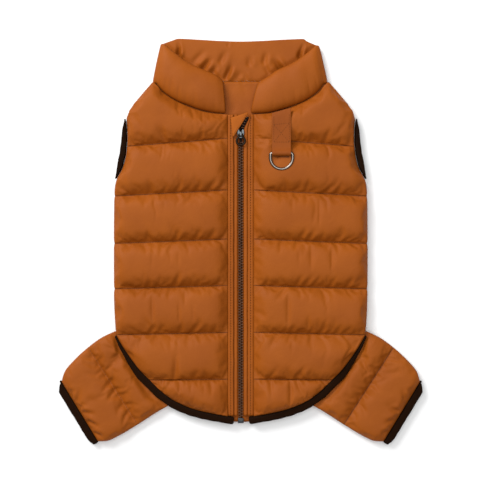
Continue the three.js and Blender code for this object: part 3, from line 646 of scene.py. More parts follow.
# %% Leg walls
def leg_upper(word, side):
    lines = leg_creases(word, side, seed=31 + side)
    mesh, places = grid(LEG_COLUMNS, LEG_ROWS)
    for (column, row), vertex in places.items():
        along, across = row / LEG_ROWS, column / LEG_COLUMNS
        x, y = leg_point(along, across)
        vertex.co = Vector((side * x, y, leg_height(x, y, along, across, lines)))
    mesh.verts.index_update()
    ends = (0, LEG_COLUMNS)
    sewn_rows = (*range(LEG_HIDDEN_ROWS), LEG_QUILT_ROW, LEG_ROWS)
    sewn = [v.index for place, v in places.items() if place[0] in ends or place[1] in sewn_rows]
    piece = facing_up(finish_mesh(mesh, f"leg_{word}_upper"))
    swell_cloth(piece, sewn, growth=0.05, pressure=1.0, cap=1.8)
    closed_pad(piece, lambda x, y: LEG_TOP_UNDER)
    # The leg's quilt seam is painted on as shade.
    mark_painted_shade(piece, lambda x, y: leg_seam_distance(x, y) + LEG_SEAM_FADE[word], width=0.7)
    return piece


def leg_lower(word, side):
    """The under wall: padded, rounded at its edge, with a shallow groove at the quilt seam."""
    columns, rows = 30, 32
    mesh, places = grid(columns, rows)
    for (column, row), vertex in places.items():
        along, across = row / rows, column / columns
        x, y = leg_point(along, across)
        to_edge = min(across, 1 - across) * LEG_WIDTH
        groove = UNDER_GROOVE * (1 - dome(abs(along - 0.5) * LEG_LENGTH, UNDER_GROOVE_REACH))
        rounded = UNDER_EDGE * (1 - dome(to_edge, UNDER_EDGE_REACH))
        vertex.co = Vector((side * x, y, rounded + groove))
    piece = finish_mesh(mesh, f"leg_{word}_lower")
    closed_pad(piece, lambda x, y: LEG_UNDER_TOP)
    return piece


legs = []
for word, side in SIDES.items():
    for piece, node in ((leg_upper(word, side), "top"), (leg_lower(word, side), "under")):
        legs.append(dress(piece, f"leg_{word}_{node}"))
print("legs:", sum(len(piece.data.polygons) for piece in legs), "faces")

# %% [markdown]
# The back panel rests on the floor, so its quilting shows underneath as shallow grooves between
# flat chambers. Its inside shows only in the neck, between the fronts of the collar.

# %% Back
BACK_COLUMNS = 70
BACK_LOW_Y, BACK_LEG_Y, BACK_NECK_Y = -186, -95.5, 168.4
BACK_ROUND_STEPS, BACK_ROUND, BACK_STEP = 4, 3, 2.9
back_low_x = Curve([
    (BACK_LOW_Y, 6), (-183, 30), (-176, 47), (-165, 60.5), (-130, 95.9), (BACK_LEG_Y, 130.7),
])
shoulder_x = Curve([(SHOULDER_LOW_Y, 120.2), (138.7, 116), (152.1, 105.8), (BACK_NECK_Y, 91.6)])
BACK_SIDE_IN = 0.6
INSIDE_DROP = 0.2
GROOVE, GROOVE_REACH, PULL_REACH, EDGE_ROUND, EDGE_ROUND_REACH = 1.6, 8, 14, 1.6, 6
BACK_PLAIN_Y = 120
NECK_PUCKERS = [
    # foot x and y, step x and y, depth, width of the puckers in the back's inside
    (2, 168, 3, -14, 1.1, 2.4), (-7, 168, 1, -9, 0.6, 1.8), (-13, 168, 3, -17, 0.9, 2.4),
    (9, 168, -2, -10, 0.7, 2.0), (14, 167, -3, -13, 0.7, 2.2), (-11, 134, 3, 13, 0.8, 3.0),
]


def back_half(y):
    """Half of the back's width at a height."""
    if y < BACK_LEG_Y:
        return back_low_x(y)
    return (shoulder_x(y) if y > SHOULDER_LOW_Y else side_x(y)) - BACK_SIDE_IN


def back_heights():
    """Rows of the back's grid, closer together at its rounded lower end."""
    steps = range(BACK_ROUND_STEPS)
    heights = [BACK_LOW_Y + BACK_ROUND * (step / BACK_ROUND_STEPS) ** 1.5 for step in steps]
    y = float(BACK_LOW_Y + BACK_ROUND)
    while y < BACK_NECK_Y - 1:
        heights.append(y)
        y += BACK_STEP
    return heights + [BACK_NECK_Y]


def back_mesh(face):
    """The panel's inside (up) or its outside, which rests on the floor."""
    heights = back_heights()
    puckers = creases_of(NECK_PUCKERS)
    mesh, places = grid(BACK_COLUMNS, len(heights) - 1)
    for (column, row), vertex in places.items():
        y = heights[row]
        share = 2 * column / BACK_COLUMNS - 1
        half = back_half(y)
        x = share * half
        to_edge = min(half - abs(x), (y - BACK_LOW_Y) * 0.7, BACK_NECK_Y - y)
        if face == "inside":
            ripple = 0.3 * noise.noise(Vector((x / 5, y / 14, 0)))
            relief = smooth(to_edge / 3) * (ripple - crease_depth(puckers, x, y))
            vertex.co = Vector((x, y, BACK_TOP - INSIDE_DROP + relief))
        else:
            to_seam = seam_distance(x, y)
            groove = GROOVE * (1 - dome(to_seam, GROOVE_REACH))
            pull = 0.5 * noise.noise(Vector((x / 4, y / 10, 9))) * (1 - dome(to_seam, PULL_REACH))
            rounded = EDGE_ROUND * (1 - dome(to_edge, EDGE_ROUND_REACH))
            vertex.co = Vector((x, y, max(0.0, groove + rounded + pull)))
    return mesh


def back_seam_distance(x, y):
    """The quilt seams of the back stop below the neck, where its inside shows plain."""
    return seam_distance(x, y) if abs(x) > ZIP_EDGE or y < BACK_PLAIN_Y else FAR


back_shell = back_mesh("outside")
inside = bpy.data.meshes.new("inside")
back_mesh("inside").to_mesh(inside)
back_shell.from_mesh(inside)
rims = [edge for edge in back_shell.edges if edge.is_boundary]
bmesh.ops.bridge_loops(back_shell, edges=rims)
back = finish_mesh(back_shell, "back_panel_padded")
# The back's quilt seams are painted on as shade.
mark_painted_shade(back, back_seam_distance, width=1.2)
dress(back, "back_panel")
print("back:", len(back.data.polygons), "faces")

# %% [markdown]
# The collar is one padded band. It lies double: the front layers on top, turned over at each side
# into the back layer, whose inside shows between them. It is a tube of sections along the band,
# each from the neck seam (foot) to the rim, and each turned a little further round the fold.

# %% Collar
COLLAR_STATIONS = [
    # foot x, foot y, rim x, rim y, turn in degrees, thickness, gather
    (-15.2, 134.5, -18.4, 168.6, 90, 6.6, 0.5), (-25.5, 135.1, -25.6, 174.8, 90, 9.6, 1.0),
    (-42, 138.2, -38.9, 180.6, 90, 11.0, 1.0), (-55, 142.8, -49.3, 185.2, 90, 10.8, 1.0),
    (-65, 146.6, -58.3, 190.2, 90, 11.2, 1.0), (-75.5, 152.5, -67.2, 196.8, 90, 10.2, 1.0),
    (-84, 159.5, -75.4, 203.4, 90, 8.8, 0.8), (-88.4, 165.6, -80.0, 207.4, 86, 5.8, 0.4),
    (-88.9, 166.2, -80.2, 207.8, 45, 4.5, 0.2), (-88.9, 166.6, -80.2, 208.0, 0, 4.1, 0.2),
    (-88.8, 167.2, -79.6, 208.6, -45, 4.8, 0.2), (-88.2, 168.2, -78.4, 209.2, -86, 5.5, 0.2),
    (-77, 168.7, -71.6, 211.6, -90, 5.5, 0), (-66, 168.7, -65.0, 213.4, -90, 5.5, 0),
    (-44, 168.7, -43, 212.3, -90, 5.5, 0), (-22, 168.7, -21, 211.0, -90, 5.5, 0),
    (0, 168.7, 0, 210.4, -90, 5.5, 0),
]
COLLAR_RIGHT_EDGE = [
    (25, 135.0, 28.6, 173.6, 90, 9.6, 1.0), (9.4, 134.5, 17.4, 166.6, 90, 6.6, 0.5),
]
RIGHT_FOLD_IN, RIGHT_RIM_IN = 1.4, 1.2
ROWS_BETWEEN = [6, 10, 7, 7, 7, 7, 6, 3, 3, 3, 3, 7, 7, 14, 14, 14]
COLLAR_AROUND = 60
COLLAR_MIDDLE = 5.55
COLLAR_WALL, COLLAR_SWELL = 0.15, 1.06
PADDED_SHAPE, FOLDED_SHAPE = 0.72, 0.12
INNER_BULGE, INNER_FOLD_SCALE, OUTER_GATHER_SCALE = 2.0, 1.8, 1.3
INNER_FOLDS = [
    # foot x and y, step x and y, depth, width of the gathers inside the back of the collar
    (-41.7, 180.0, 11, 12.5, 3.0, 2.6), (-16.5, 170.2, 7.5, 16, 3.2, 2.3),
    (-50.1, 187.5, 14, 15, 1.3, 3.2), (-22.3, 186.8, 7.5, 15, 1.3, 3.0),
    (-30, 176.5, 5, 9, 1.4, 2.2), (-66.2, 194.6, 1.2, 9, 3.4, 2.0), (-64.5, 200, -2, 11, 1.2, 1.8),
    (44.5, 178.5, -10, 13, 2.8, 2.4), (24, 186, 3, 14, 1.4, 2.6), (8.5, 184, 1, 12, 1.1, 3.0),
    (61.2, 193.0, 2.2, 8.5, 3.4, 2.0), (63, 199, 3.6, 10, 1.3, 1.8), (30, 176, -6, 10, 1.2, 2.4),
    (-4, 169.5, 5, 11, 1.1, 2.6), (-13, 205, 0, 5, 0.8, 1.2), (6, 169.2, -4, 10, 0.9, 2.4),
]
OUTER_GATHERS = [
    # station along the collar, depth, width in stations, reach up the collar
    (1.1, 0.6, 0.10, 0.45), (1.7, 0.5, 0.09, 0.35), (2.5, 0.8, 0.12, 0.5), (3.3, 0.6, 0.1, 0.4),
    (4.1, 0.9, 0.12, 0.5), (4.9, 0.7, 0.12, 0.6), (5.5, 0.9, 0.14, 0.45), (6.1, 0.7, 0.14, 0.6),
    (26.2, 0.7, 0.13, 0.5), (27.1, 0.8, 0.12, 0.55), (27.9, 0.6, 0.12, 0.4),
    (28.7, 0.8, 0.12, 0.45), (29.6, 0.6, 0.1, 0.5), (30.5, 0.5, 0.1, 0.35),
]


print("gathers inside the collar:", len(INNER_FOLDS))

# %% [markdown]
# The band's rows are read from curves through the stations. The right half is the left half
# mirrored, apart from its last two stations, since the right front edge leans another way. Round
# each row, the outer half takes the padding's thickness and the inner half the gathers.

# %% Collar's shape
def mirrored_station(foot_x, foot_y, rim_x, rim_y, *rest):
    """A left station on the right side, where the fold lies a little further in."""
    shift = RIGHT_FOLD_IN * smooth((-foot_x - 60) / 25)
    rim_shift = RIGHT_RIM_IN * shift
    return (-foot_x - shift, foot_y, -rim_x - rim_shift, rim_y - rim_shift, *rest)


def collar_stations():
    """All stations, from the left front edge round the back to the right front edge."""
    right = [mirrored_station(*station) for station in COLLAR_STATIONS[-2:1:-1]]
    return COLLAR_STATIONS + right + COLLAR_RIGHT_EDGE


def collar_marks():
    """Where the rows of the collar's grid lie between its stations."""
    spans = ROWS_BETWEEN + ROWS_BETWEEN[::-1]
    marks = [i + step / count for i, count in enumerate(spans) for step in range(count)]
    return marks + [float(len(spans))]


def outer_gather_depth(mark, share):
    depth = 0.0
    for at, deep, width, reach in OUTER_GATHERS:
        off = (mark - at - 0.15 * share) / width
        depth += deep * math.exp(-off * off) * (1 - smooth(share / reach))
    return depth


def closed_tube(mesh, near):
    """Joins the two sides of a rolled grid and fills its ends."""
    bmesh.ops.remove_doubles(mesh, verts=mesh.verts, dist=near)
    ends = [edge for edge in mesh.edges if edge.is_boundary]
    bmesh.ops.holes_fill(mesh, edges=ends, sides=0)
    return mesh


def collar_mesh():
    stations = collar_stations()
    curves = [Curve(list(enumerate(column))) for column in zip(*stations)]
    foot_x, foot_y, rim_x, rim_y, turn_at, thick_at, gather = curves
    front_rim = Curve(sorted((station[2], station[3]) for station in stations if station[4] > 80))
    inner_folds = creases_of(INNER_FOLDS)
    marks = collar_marks()
    mesh, places = grid(COLLAR_AROUND, len(marks) - 1)
    for (column, row), vertex in places.items():
        mark = marks[row]
        angle = 2 * math.pi * column / COLLAR_AROUND
        outer = math.sin(angle) >= 0
        share = 0.5 - 0.5 * math.cos(angle)
        if row in (0, len(marks) - 1):
            share = mix(share, 0.5, 0.06)
        turn = math.radians(turn_at(mark))
        side = math.copysign(1.0, foot_x(mark)) if abs(foot_x(mark)) > 1e-6 else 1.0
        x = mix(foot_x(mark), rim_x(mark), share)
        y = mix(foot_y(mark), rim_y(mark), share)
        fold = math.cos(turn) ** 2
        swell = abs(math.sin(angle)) ** mix(PADDED_SHAPE, FOLDED_SHAPE, fold)
        lift = COLLAR_WALL
        if outer:
            lift += COLLAR_SWELL * thick_at(mark) * swell
            lift -= swell * gather(mark) * outer_gather_depth(mark, share) * OUTER_GATHER_SCALE
            lift += 0.5 * swell * gather(mark) * noise.noise(Vector((x / 16, y / 16, 4)))
        elif turn < 0:
            open_part = smooth((y - front_rim(x)) / 5) * smooth((86 - abs(x)) / 10)
            gathers = INNER_FOLD_SCALE * crease_depth(inner_folds, x, y)
            lift += swell * (gathers - INNER_BULGE * open_part)
        height = COLLAR_MIDDLE + math.sin(turn) * lift
        vertex.co = Vector((x + side * math.cos(turn) * lift, y, max(0.0, height)))
    return closed_tube(mesh, near=0.02)


collar = finish_mesh(collar_mesh(), "collar_padded")
rounding = collar.modifiers.new("smooth", "SUBSURF")
rounding.levels = rounding.render_levels = 1
dress(collar, "collar")
print("collar:", len(collar.data.polygons), "faces before it is smoothed")

# %% [markdown]
# The long narrow pieces, such as bindings, the ring and the strap, are sections carried along a
# line. A curve object with a bevel could do that, but its section can't change on the way. A grid
# whose two sides meet is as quick, keeps its rows even, and takes any section.

# %% Sections along a line
class Route:
    """A line through points, read by a share of its length."""

    def __init__(self, points):
        self.points = [Vector(point) for point in points]
        self.reach = [0.0]
        for a, b in zip(self.points, self.points[1:]):
            self.reach.append(self.reach[-1] + (b - a).length)
        self.length = self.reach[-1]

    def at(self, share):
        distance = clamp(share) * self.length
        i = 0
        while i < len(self.reach) - 2 and self.reach[i + 1] < distance:
            i += 1
        step = (distance - self.reach[i]) / (self.reach[i + 1] - self.reach[i])
        return self.points[i].lerp(self.points[i + 1], step)

    def heading(self, share, reach=0.004):
        return (self.at(share + reach) - self.at(share - reach)).normalized()


def wrapped(around, rows, place, closed=False, length=1.0):
    """A tube: place(u, v) gives a point, u round the section and v along the line."""
    mesh, places = grid(around, rows)
    along = mesh.verts.layers.float["along"]
    for (column, row), vertex in places.items():
        vertex.co = place((column % around) / around, (row % rows if closed else row) / rows)
        vertex[along] = length * row / rows
    return closed_tube(mesh, near=0.005)


BINDING_THICK = 0.9


def folded_section(u, wide, half, power=0.42):
    """A tape folded over an edge. u runs down its outer face, then back up its inner face.

    Gives the share across from the open side to the fold, and the height from -1 to 1."""
    angle = 2 * math.pi * (mix(0.02, 0.98, 2 * u) if u < 0.5 else mix(0.98, 0.02, 2 * u - 1))
    share = 0.5 - 0.5 * math.cos(angle)
    rise = math.copysign(abs(math.sin(angle)) ** power, math.sin(angle))
    if u < 0.5:
        return share, rise
    return min(share, 1 - BINDING_THICK / wide), rise * (1 - BINDING_THICK / half)


# %% [markdown]
# Fold-over elastic binds the hem, the armholes and the cuffs. It is a ribbed knitted tape, folded
# over the raw edge and stitched once. It pulls the edge in a little, so its width and its height
# waver along the way. Its fine ribs are left to the material, which reads the length so far.

# %% Hem bindings
HEM_GAP = -0.3
BINDING_CUT, BINDING_SHOWS, BINDING_HALF = 16.0, 8.0, 2.0
hem_width = Curve([
    (7.7, 8), (94.5, 8), (106, 7.2), (117.1, 5.2), (125.5, 3.5), (SIDE_LOW_X, 2.2),
])
HEM_CENTRE_ENDS = {"left": 6.9, "right": 8.1}


def waver(x, y, reach, amount):
    return amount * noise.noise(Vector((x / reach, y / reach, 7.7)))


def stitch_dip(share):
    """Depth of the groove that the stitches pull into the tape, near its open edge."""
    return 0.5 * math.exp(-((share - 0.16) / 0.07) ** 2)


bindings = []


def bind(piece, node, length):
    """Sets a binding in the frame: a tape folded over an edge. length is not used."""
    dress(piece, node)
    bindings.append(piece)


def hem_binding(word, side):
    count = 60
    steps = [mix(HEM_CENTRE_ENDS[word], SIDE_LOW_X, step / count) for step in range(count + 1)]
    route = Route([Vector((x, hem_y(x), 0)) for x in steps])

    def place(u, v):
        share, rise = folded_section(u, BINDING_SHOWS, BINDING_HALF)
        point = route.at(v)
        heading = route.heading(v)
        out = Vector((heading.y, -heading.x, 0))
        round_end = dome(v * route.length + 0.4, 1.6) * dome((1 - v) * route.length + 0.4, 1.6)
        wide = hem_width(point.x) + waver(point.x, point.y, 7, 0.5)
        spot = point + out * mix(HEM_GAP, wide, mix(0.5, share, round_end))
        base = FRONT_UNDER + front_lift(spot.x, spot.y)
        middle = base + BINDING_HALF + waver(spot.x, spot.y, 5, 0.3)
        dip = stitch_dip(share) if rise > 0 else 0
        half = (BINDING_HALF if rise > 0 else BINDING_HALF - 0.05) * mix(0.75, 1, round_end)
        return Vector((side * spot.x, spot.y, middle + half * rise - dip))

    tube = wrapped(36, 150, place, length=route.length)
    bind(finish_mesh(tube, f"hem_binding_{word}_elastic"), f"hem_binding_{word}", route.length)
    return route


hem_routes = {word: hem_binding(word, side) for word, side in SIDES.items()}
print("hem binding:", round(hem_routes["left"].length), "mm on each side")

# %% [markdown]
# The armhole bindings and the cuffs are flat loops. One strand lies on top, the other beneath, and
# the loop turns over at both ends. So the line runs out over the top, round, and back below.

# %% Loops of binding
ARMHOLE_ROWS = [
    # x and y of the inner edge, x and y of the outer edge
    (121.3, 127.2, 122.4, 126.4), (120.3, 119, 124.3, 119.6), (120, 106.5, 125.6, 107.3),
    (121.2, 92.1, 127.4, 92.6), (125, 77.3, 130.2, 78.6), (130.4, 67.6, 131.6, 67.9),
]
LOOP_TURN_SHARE = 0.03
ARMHOLE_LEVELS, ARMHOLE_TURN = (10.4, 5.7, 5.4, 0), 0.3
CUFF_LEVELS, CUFF_TURN = (8.4, 4.3, 4.0, 0), 0.6
CUFF_HIGH, CUFF_LOW = Vector((188.6, -147.6, 0)), Vector((150.2, -210.6, 0))
CUFF_RUN = (CUFF_LOW - CUFF_HIGH).normalized()
CUFF_OUT = Vector((-CUFF_RUN.y, CUFF_RUN.x, 0))
CUFF_GAP = 0.3
CUFF_WIDTHS = [
    # share of the way down the cuff, width of the binding there
    (0.01, 1.6), (0.05, 5.0), (0.11, 8), (0.5, 8.2), (0.9, 8), (0.95, 7.6), (0.985, 6.0),
]


def loop_station(v):
    """Where on the loop v lies: share of the way along, turn from the top strand, lean outwards."""
    straight = 0.5 - LOOP_TURN_SHARE
    if v < straight:
        return v / straight, 1.0, 0.0
    if v < 0.5:
        angle = math.pi * (v - straight) / LOOP_TURN_SHARE
        return 1.0, math.cos(angle), math.sin(angle)
    if v < 0.5 + straight:
        return 1 - (v - 0.5) / straight, -1.0, 0.0
    angle = math.pi * (v - 0.5 - straight) / LOOP_TURN_SHARE
    return 0.0, -math.cos(angle), -math.sin(angle)


def flat_loop(name, side, inner, outer, levels, turn):
    """A loop of binding between two lines. levels: top and under of the upper strand, then of the
    lower one."""
    top, slit_top, slit_under, under = levels
    upper = ((top + slit_top) / 2, (top - slit_top) / 2)
    lower = ((slit_under + under) / 2, (slit_under - under) / 2)

    def place(u, v):
        station, up, lean = loop_station(v)
        a = inner.at(station)
        b = outer.at(station)
        share, rise = folded_section(u, max(2.5, (b - a).length), 2.0)
        spot = a.lerp(b, share + waver(a.x, a.y, 6, 0.05) * share)
        middle = mix(lower[0], upper[0], (up + 1) / 2)
        half = mix(lower[1], upper[1], (up + 1) / 2)
        dip = stitch_dip(share) if rise > 0 and up > 0 else 0
        heading = inner.heading(station)
        spot = spot + heading * lean * (turn + half * rise * 0.8)
        ripple = waver(spot.x, spot.y, 4, 0.3) if up > 0 else 0
        return Vector((side * spot.x, spot.y, max(0.0, middle + up * (half * rise - dip) + ripple)))

    return finish_mesh(wrapped(36, 200, place, closed=True, length=2 * inner.length), name)


for word, side in SIDES.items():
    inner = Route([(row[0], row[1], 0) for row in ARMHOLE_ROWS])
    outer = Route([(row[2], row[3], 0) for row in ARMHOLE_ROWS])
    piece = flat_loop(f"armhole_{word}_elastic", side, inner, outer, ARMHOLE_LEVELS, ARMHOLE_TURN)
    bind(piece, f"armhole_binding_{word}", 2 * inner.length)
    cuff_line = [(CUFF_HIGH.lerp(CUFF_LOW, t), wide) for t, wide in CUFF_WIDTHS]
    inner = Route([cuff_line[i][0] + CUFF_OUT * CUFF_GAP for i in (0, -1)])
    outer = Route([spot + CUFF_OUT * (CUFF_GAP + wide) for spot, wide in cuff_line])
    piece = flat_loop(f"cuff_{word}_elastic", side, inner, outer, CUFF_LEVELS, CUFF_TURN)
    bind(piece, f"cuff_{word}", 2 * inner.length)
    print(word, "cuff:", round(2 * inner.length), "mm of binding")

# %% [markdown]
# The plackets hide the zip's tape. Each is a band of the shell's cloth, folded back at a lip beside
# the teeth and stitched through 10 mm out, which leaves a groove and a row of stitches. A section
# drawn once is carried up the zip. The right lip swings out at the top, where the zip is open.

# %% Plackets
PLACKET_LOW, PLACKET_HIGH, PLACKET_UNDER = -183.2, 133.0, 6.6
PLACKET_LIP, PLACKET_WIDE = 3.0, 10.55
PLACKET_SECTION = Curve([
    (PLACKET_LIP, 7.9), (3.3, 8.9), (3.9, 9.5), (4.8, 9.8), (6.1, 9.75), (6.7, 9.3), (7.0, 8.2),
    (7.25, 8.0), (7.5, 8.9), (8.0, 9.6), (9.3, 9.85), (10.1, 9.55), (10.4, 9.45), (10.7, 9.55),
    (11.4, 9.85), (12.5, 9.55), (13.2, 9.25), (13.55, 9.05),
])
PLACKET_COLUMNS, PLACKET_ROWS = 40, 160
STITCH_LINE = 10.4
LIP_SWING, LIP_SWING_FROM, LIP_SWING_REACH = 5.6, 116.0, 16
GROOVE_X = 7.15
GARAGE_SHADOW_SIDE = (Vector((-7.0, 108.6)), Vector((-2.6, 115.5)))


def lip_swing(side, y):
    """How far the right lip swings out at a height."""
    return LIP_SWING * smooth((y - LIP_SWING_FROM) / LIP_SWING_REACH) if side > 0 else 0.0


def placket_shade_distance(x, y):
    """How far a point lies from the left placket's groove, or from the garage's lower side, where
    its shadow is painted.
    """
    return min(abs(x + GROOVE_X), 0.6 * segment_distance(x, y, *GARAGE_SHADOW_SIDE))


def placket(word, side):
    mesh, places = grid(PLACKET_COLUMNS, PLACKET_ROWS)
    for (column, row), vertex in places.items():
        y = mix(PLACKET_LOW, PLACKET_HIGH, row / PLACKET_ROWS)
        across = PLACKET_LIP + PLACKET_WIDE * column / PLACKET_COLUMNS
        from_lip = across - PLACKET_LIP
        wave = 0.3 * noise.noise(Vector((side * 9, y / 17, 1))) * smooth((13.4 - across) / 3)
        swing = lip_swing(side, y) * (1 - smooth(from_lip / 9))
        x = across + wave * smooth(from_lip / 2) + swing
        near_stitch = math.exp(-((across - STITCH_LINE) / 1.6) ** 2)
        pucker = 0.3 * near_stitch * noise.noise(Vector((side * 3, y / 1.9, 5)))
        unevenness = 0.15 * noise.noise(Vector((x / 3, y / 9, 2)))
        vertex.co = Vector((side * x, y, PLACKET_SECTION(across) + pucker + unevenness))
    piece = facing_up(finish_mesh(mesh, f"placket_{word}_folded"))
    closed_pad(piece, lambda x, y: PLACKET_UNDER, refine=0)
    # On the left placket, the shade in its groove and the garage's shadow are painted on.
    if side < 0:
        mark_painted_shade(piece, placket_shade_distance, 0.4)
    dress(piece, f"placket_{word}")
    return piece


plackets = [placket(word, side) for word, side in SIDES.items()]

print("placket:", len(plackets[0].data.polygons), "faces")

# %% [markdown]
# The zip's tape is a flat band that lies on the back, with a cord woven into each inner edge for
# the teeth to grip. Nothing bends it, so a grid with two low ridges, closed beneath, is enough.

# %% Zip tape
TAPE_HALF, TAPE_LOW, TAPE_HIGH = 11.0, -190.0, 131.0
TAPE_UNDER, TAPE_TOP = 5.7, 6.3
TAPE_COLUMNS, TAPE_ROWS = 22, 120
CORD_X, CORD_HALF, CORD_RISE, CORD_LOW, CORD_HIGH = 2.4, 0.8, 1.1, -186, 116
SHADE_ABOVE, SHADE_HALF = 117.5, 1.4


def tape_shade_distance(x, y):
    """How far a point lies from the tape's painted shade: its middle under the teeth, and all above
    the slider.
    """
    return min(max(0.0, SHADE_ABOVE - y), max(0.0, 3 * (abs(x) - SHADE_HALF)))


tape_mesh, places = grid(TAPE_COLUMNS, TAPE_ROWS)
for (column, row), vertex in places.items():
    x = TAPE_HALF * (2 * column / TAPE_COLUMNS - 1)
    y = mix(TAPE_LOW, TAPE_HIGH, row / TAPE_ROWS)
    cord = CORD_RISE * math.exp(-((abs(x) - CORD_X) / CORD_HALF) ** 2)
    vertex.co = Vector((x, y, TAPE_TOP + (cord if CORD_LOW < y < CORD_HIGH else 0.0)))
zip_tape = finish_mesh(tape_mesh, "zip_tape_woven")
closed_pad(zip_tape, lambda x, y: TAPE_UNDER, refine=0)
# The deep shade under the chain and in the open end above the slider is painted on the tape.
mark_painted_shade(zip_tape, tape_shade_distance, width=1.5)
dress(zip_tape, "zip_tape")
print("zip tape:", round(TAPE_HIGH - TAPE_LOW), "mm long and", round(2 * TAPE_HALF), "mm wide")

# %% [markdown]
# The zip is a moulded one. Each tooth is clamped on the tape and has a round head that hooks
# between two heads of the other side, so the closed chain shows as a zigzag. One tooth is modelled,
# then an array repeats it. A mirror would place the two sides level, so the second side is made on
# its own and set half a pitch higher.

# %% Teeth
TOOTH_PITCH = 2.9
CHAIN_LOW, CHAIN_HIGH, CHAIN_END_GAP = -185.2, 107.9, 0.6
CHAIN_MIDDLE_Z = 7.9


def add_tooth(mesh, x, y, side, turn=0.0):
    """One tooth: a clamp on the tape's side and a head that reaches just past the middle."""
    made = bmesh.ops.create_cube(mesh, size=1.0)["verts"]
    bmesh.ops.scale(mesh, verts=made, vec=(1.8, 1.15, 2.0))
    bmesh.ops.translate(mesh, verts=made, vec=(side * 1.75, 0, -0.1))
    edges = list({edge for vertex in made for edge in vertex.link_edges})
    rounded = bmesh.ops.bevel(mesh, geom=edges, offset=0.22, offset_type="OFFSET", affect="EDGES",
                              segments=1, profile=0.5, material=-1)["verts"]
    head = bmesh.ops.create_uvsphere(mesh, u_segments=8, v_segments=5, radius=1.0)["verts"]
    bmesh.ops.scale(mesh, verts=head, vec=(1.3, 0.75, 1.25))
    bmesh.ops.translate(mesh, verts=head, vec=(side * 0.35, 0, 0))
    tooth = list(set(rounded) | set(head))
    matrix = Matrix.Translation((x, y, CHAIN_MIDDLE_Z)) @ Matrix.Rotation(turn, 4, "Z")
    bmesh.ops.transform(mesh, verts=tooth, matrix=matrix)


def teeth_row(side, low, count):
    """A mesh of one side's teeth, a pitch apart."""
    mesh = bmesh.new()
    add_tooth(mesh, 0, low, side)
    piece = finish_mesh(mesh, "tooth", shade_smooth=False)
    array = piece.modifiers.new("row", "ARRAY")
    array.count = count
    array.use_relative_offset = False
    array.use_constant_offset = True
    array.constant_offset_displace = (0, TOOTH_PITCH, 0)
    row = bpy.data.meshes.new_from_object(evaluated(piece))
    bpy.data.objects.remove(piece)
    return row


chain_mesh = bmesh.new()
tooth_count = int((CHAIN_HIGH - CHAIN_LOW - 2 * CHAIN_END_GAP) / TOOTH_PITCH)
chain_mesh.from_mesh(teeth_row(-1, CHAIN_LOW + CHAIN_END_GAP, tooth_count))
chain_mesh.from_mesh(teeth_row(1, CHAIN_LOW + CHAIN_END_GAP + TOOTH_PITCH / 2, tooth_count))
chain = finish_mesh(chain_mesh, "zip_chain_teeth", shade_smooth=False)
dress(chain, "zip_chain")

UPPER_TEETH = [
    # x, y and turn in degrees of the free teeth above the slider, then their side
    (0.9, 119.6, -8, 1), (1.5, 122.5, -14, 1), (2.3, 125.4, -18, 1), (3.3, 128.2, -22, 1),
    (4.5, 130.8, -26, 1), (-0.9, 121.0, 8, -1), (-1.7, 123.9, 14, -1),
]
upper_mesh = bmesh.new()
for x, y, turn, side in UPPER_TEETH:
    add_tooth(upper_mesh, x, y, side, math.radians(turn))
upper_teeth = finish_mesh(upper_mesh, "zip_upper_free_teeth", shade_smooth=False)
dress(upper_teeth, "zip_upper_teeth")
print("teeth in the closed chain:", 2 * tooth_count)

# %% [markdown]
# The slider and the bottom stop are die cast and plated dark. A cast piece has soft corners, so
# each is a short outline, extruded and bevelled. The pull and the bridge that it hangs on are
# carried along a line, since they are as thick as a wire. Here are the helpers for both ways.

# %% Cast and bent shapes
def prism(outline, low, high, bevel):
    """An outline in X and Y, extruded from low to high, with rounded edges."""
    mesh = bmesh.new()
    face = mesh.faces.new([mesh.verts.new((x, y, low)) for x, y in outline])
    lid = bmesh.ops.extrude_face_region(mesh, geom=[face])["geom"]
    bmesh.ops.translate(mesh, verts=verts_of(lid), vec=(0, 0, high - low))
    if any(edge.is_boundary for edge in mesh.edges):
        bmesh.ops.holes_fill(mesh, edges=mesh.edges[:], sides=0)
    bmesh.ops.recalc_face_normals(mesh, faces=mesh.faces)
    sharp = [edge for edge in mesh.edges if edge.calc_face_angle(0) > 0.6]
    bmesh.ops.bevel(mesh, geom=sharp, offset=bevel, offset_type="OFFSET", affect="EDGES",
                    segments=3, profile=0.5, material=-1)
    return mesh


def block(half, low, high):
    """An outline of straight sides for prism, from low to high in Y."""
    return [(half, low), (half, high), (-half, high), (-half, low)]


def joined(meshes):
    """One bmesh of several."""
    whole = bmesh.new()
    for mesh in meshes:
        data = bpy.data.meshes.new("part")
        mesh.to_mesh(data)
        mesh.free()
        whole.from_mesh(data)
        bpy.data.meshes.remove(data)
    return whole


def rounded(points, turns):
    """Cuts the corners of a closed outline, a quarter of each side at a time."""
    for turn in range(turns):
        sides = zip(points, points[1:] + points[:1])
        points = [a.lerp(b, t) for a, b in sides for t in (0.25, 0.75)]
    return points


def wire_loop(points, across, deep, rows=120):
    """A closed loop of wire along points, with half sizes across and deep."""
    route = Route(points + points[:1])

    def place(u, v):
        ahead = route.at((v + 0.004) % 1)
        behind = route.at((v - 0.004) % 1)
        heading = (ahead - behind).normalized()
        aside = Vector((heading.y, -heading.x, 0))
        rise = heading.cross(aside)
        angle = 2 * math.pi * u
        return route.at(v) + aside * across * math.cos(angle) + rise * deep * math.sin(angle)

    return wrapped(14, rows, place, closed=True, length=route.length)


# %% [markdown]
# A slider is a plate with a notch where the two chains part, a core between them, and a bridge on
# top. The plate has two like sides, so half of its outline is written down and mirrored.

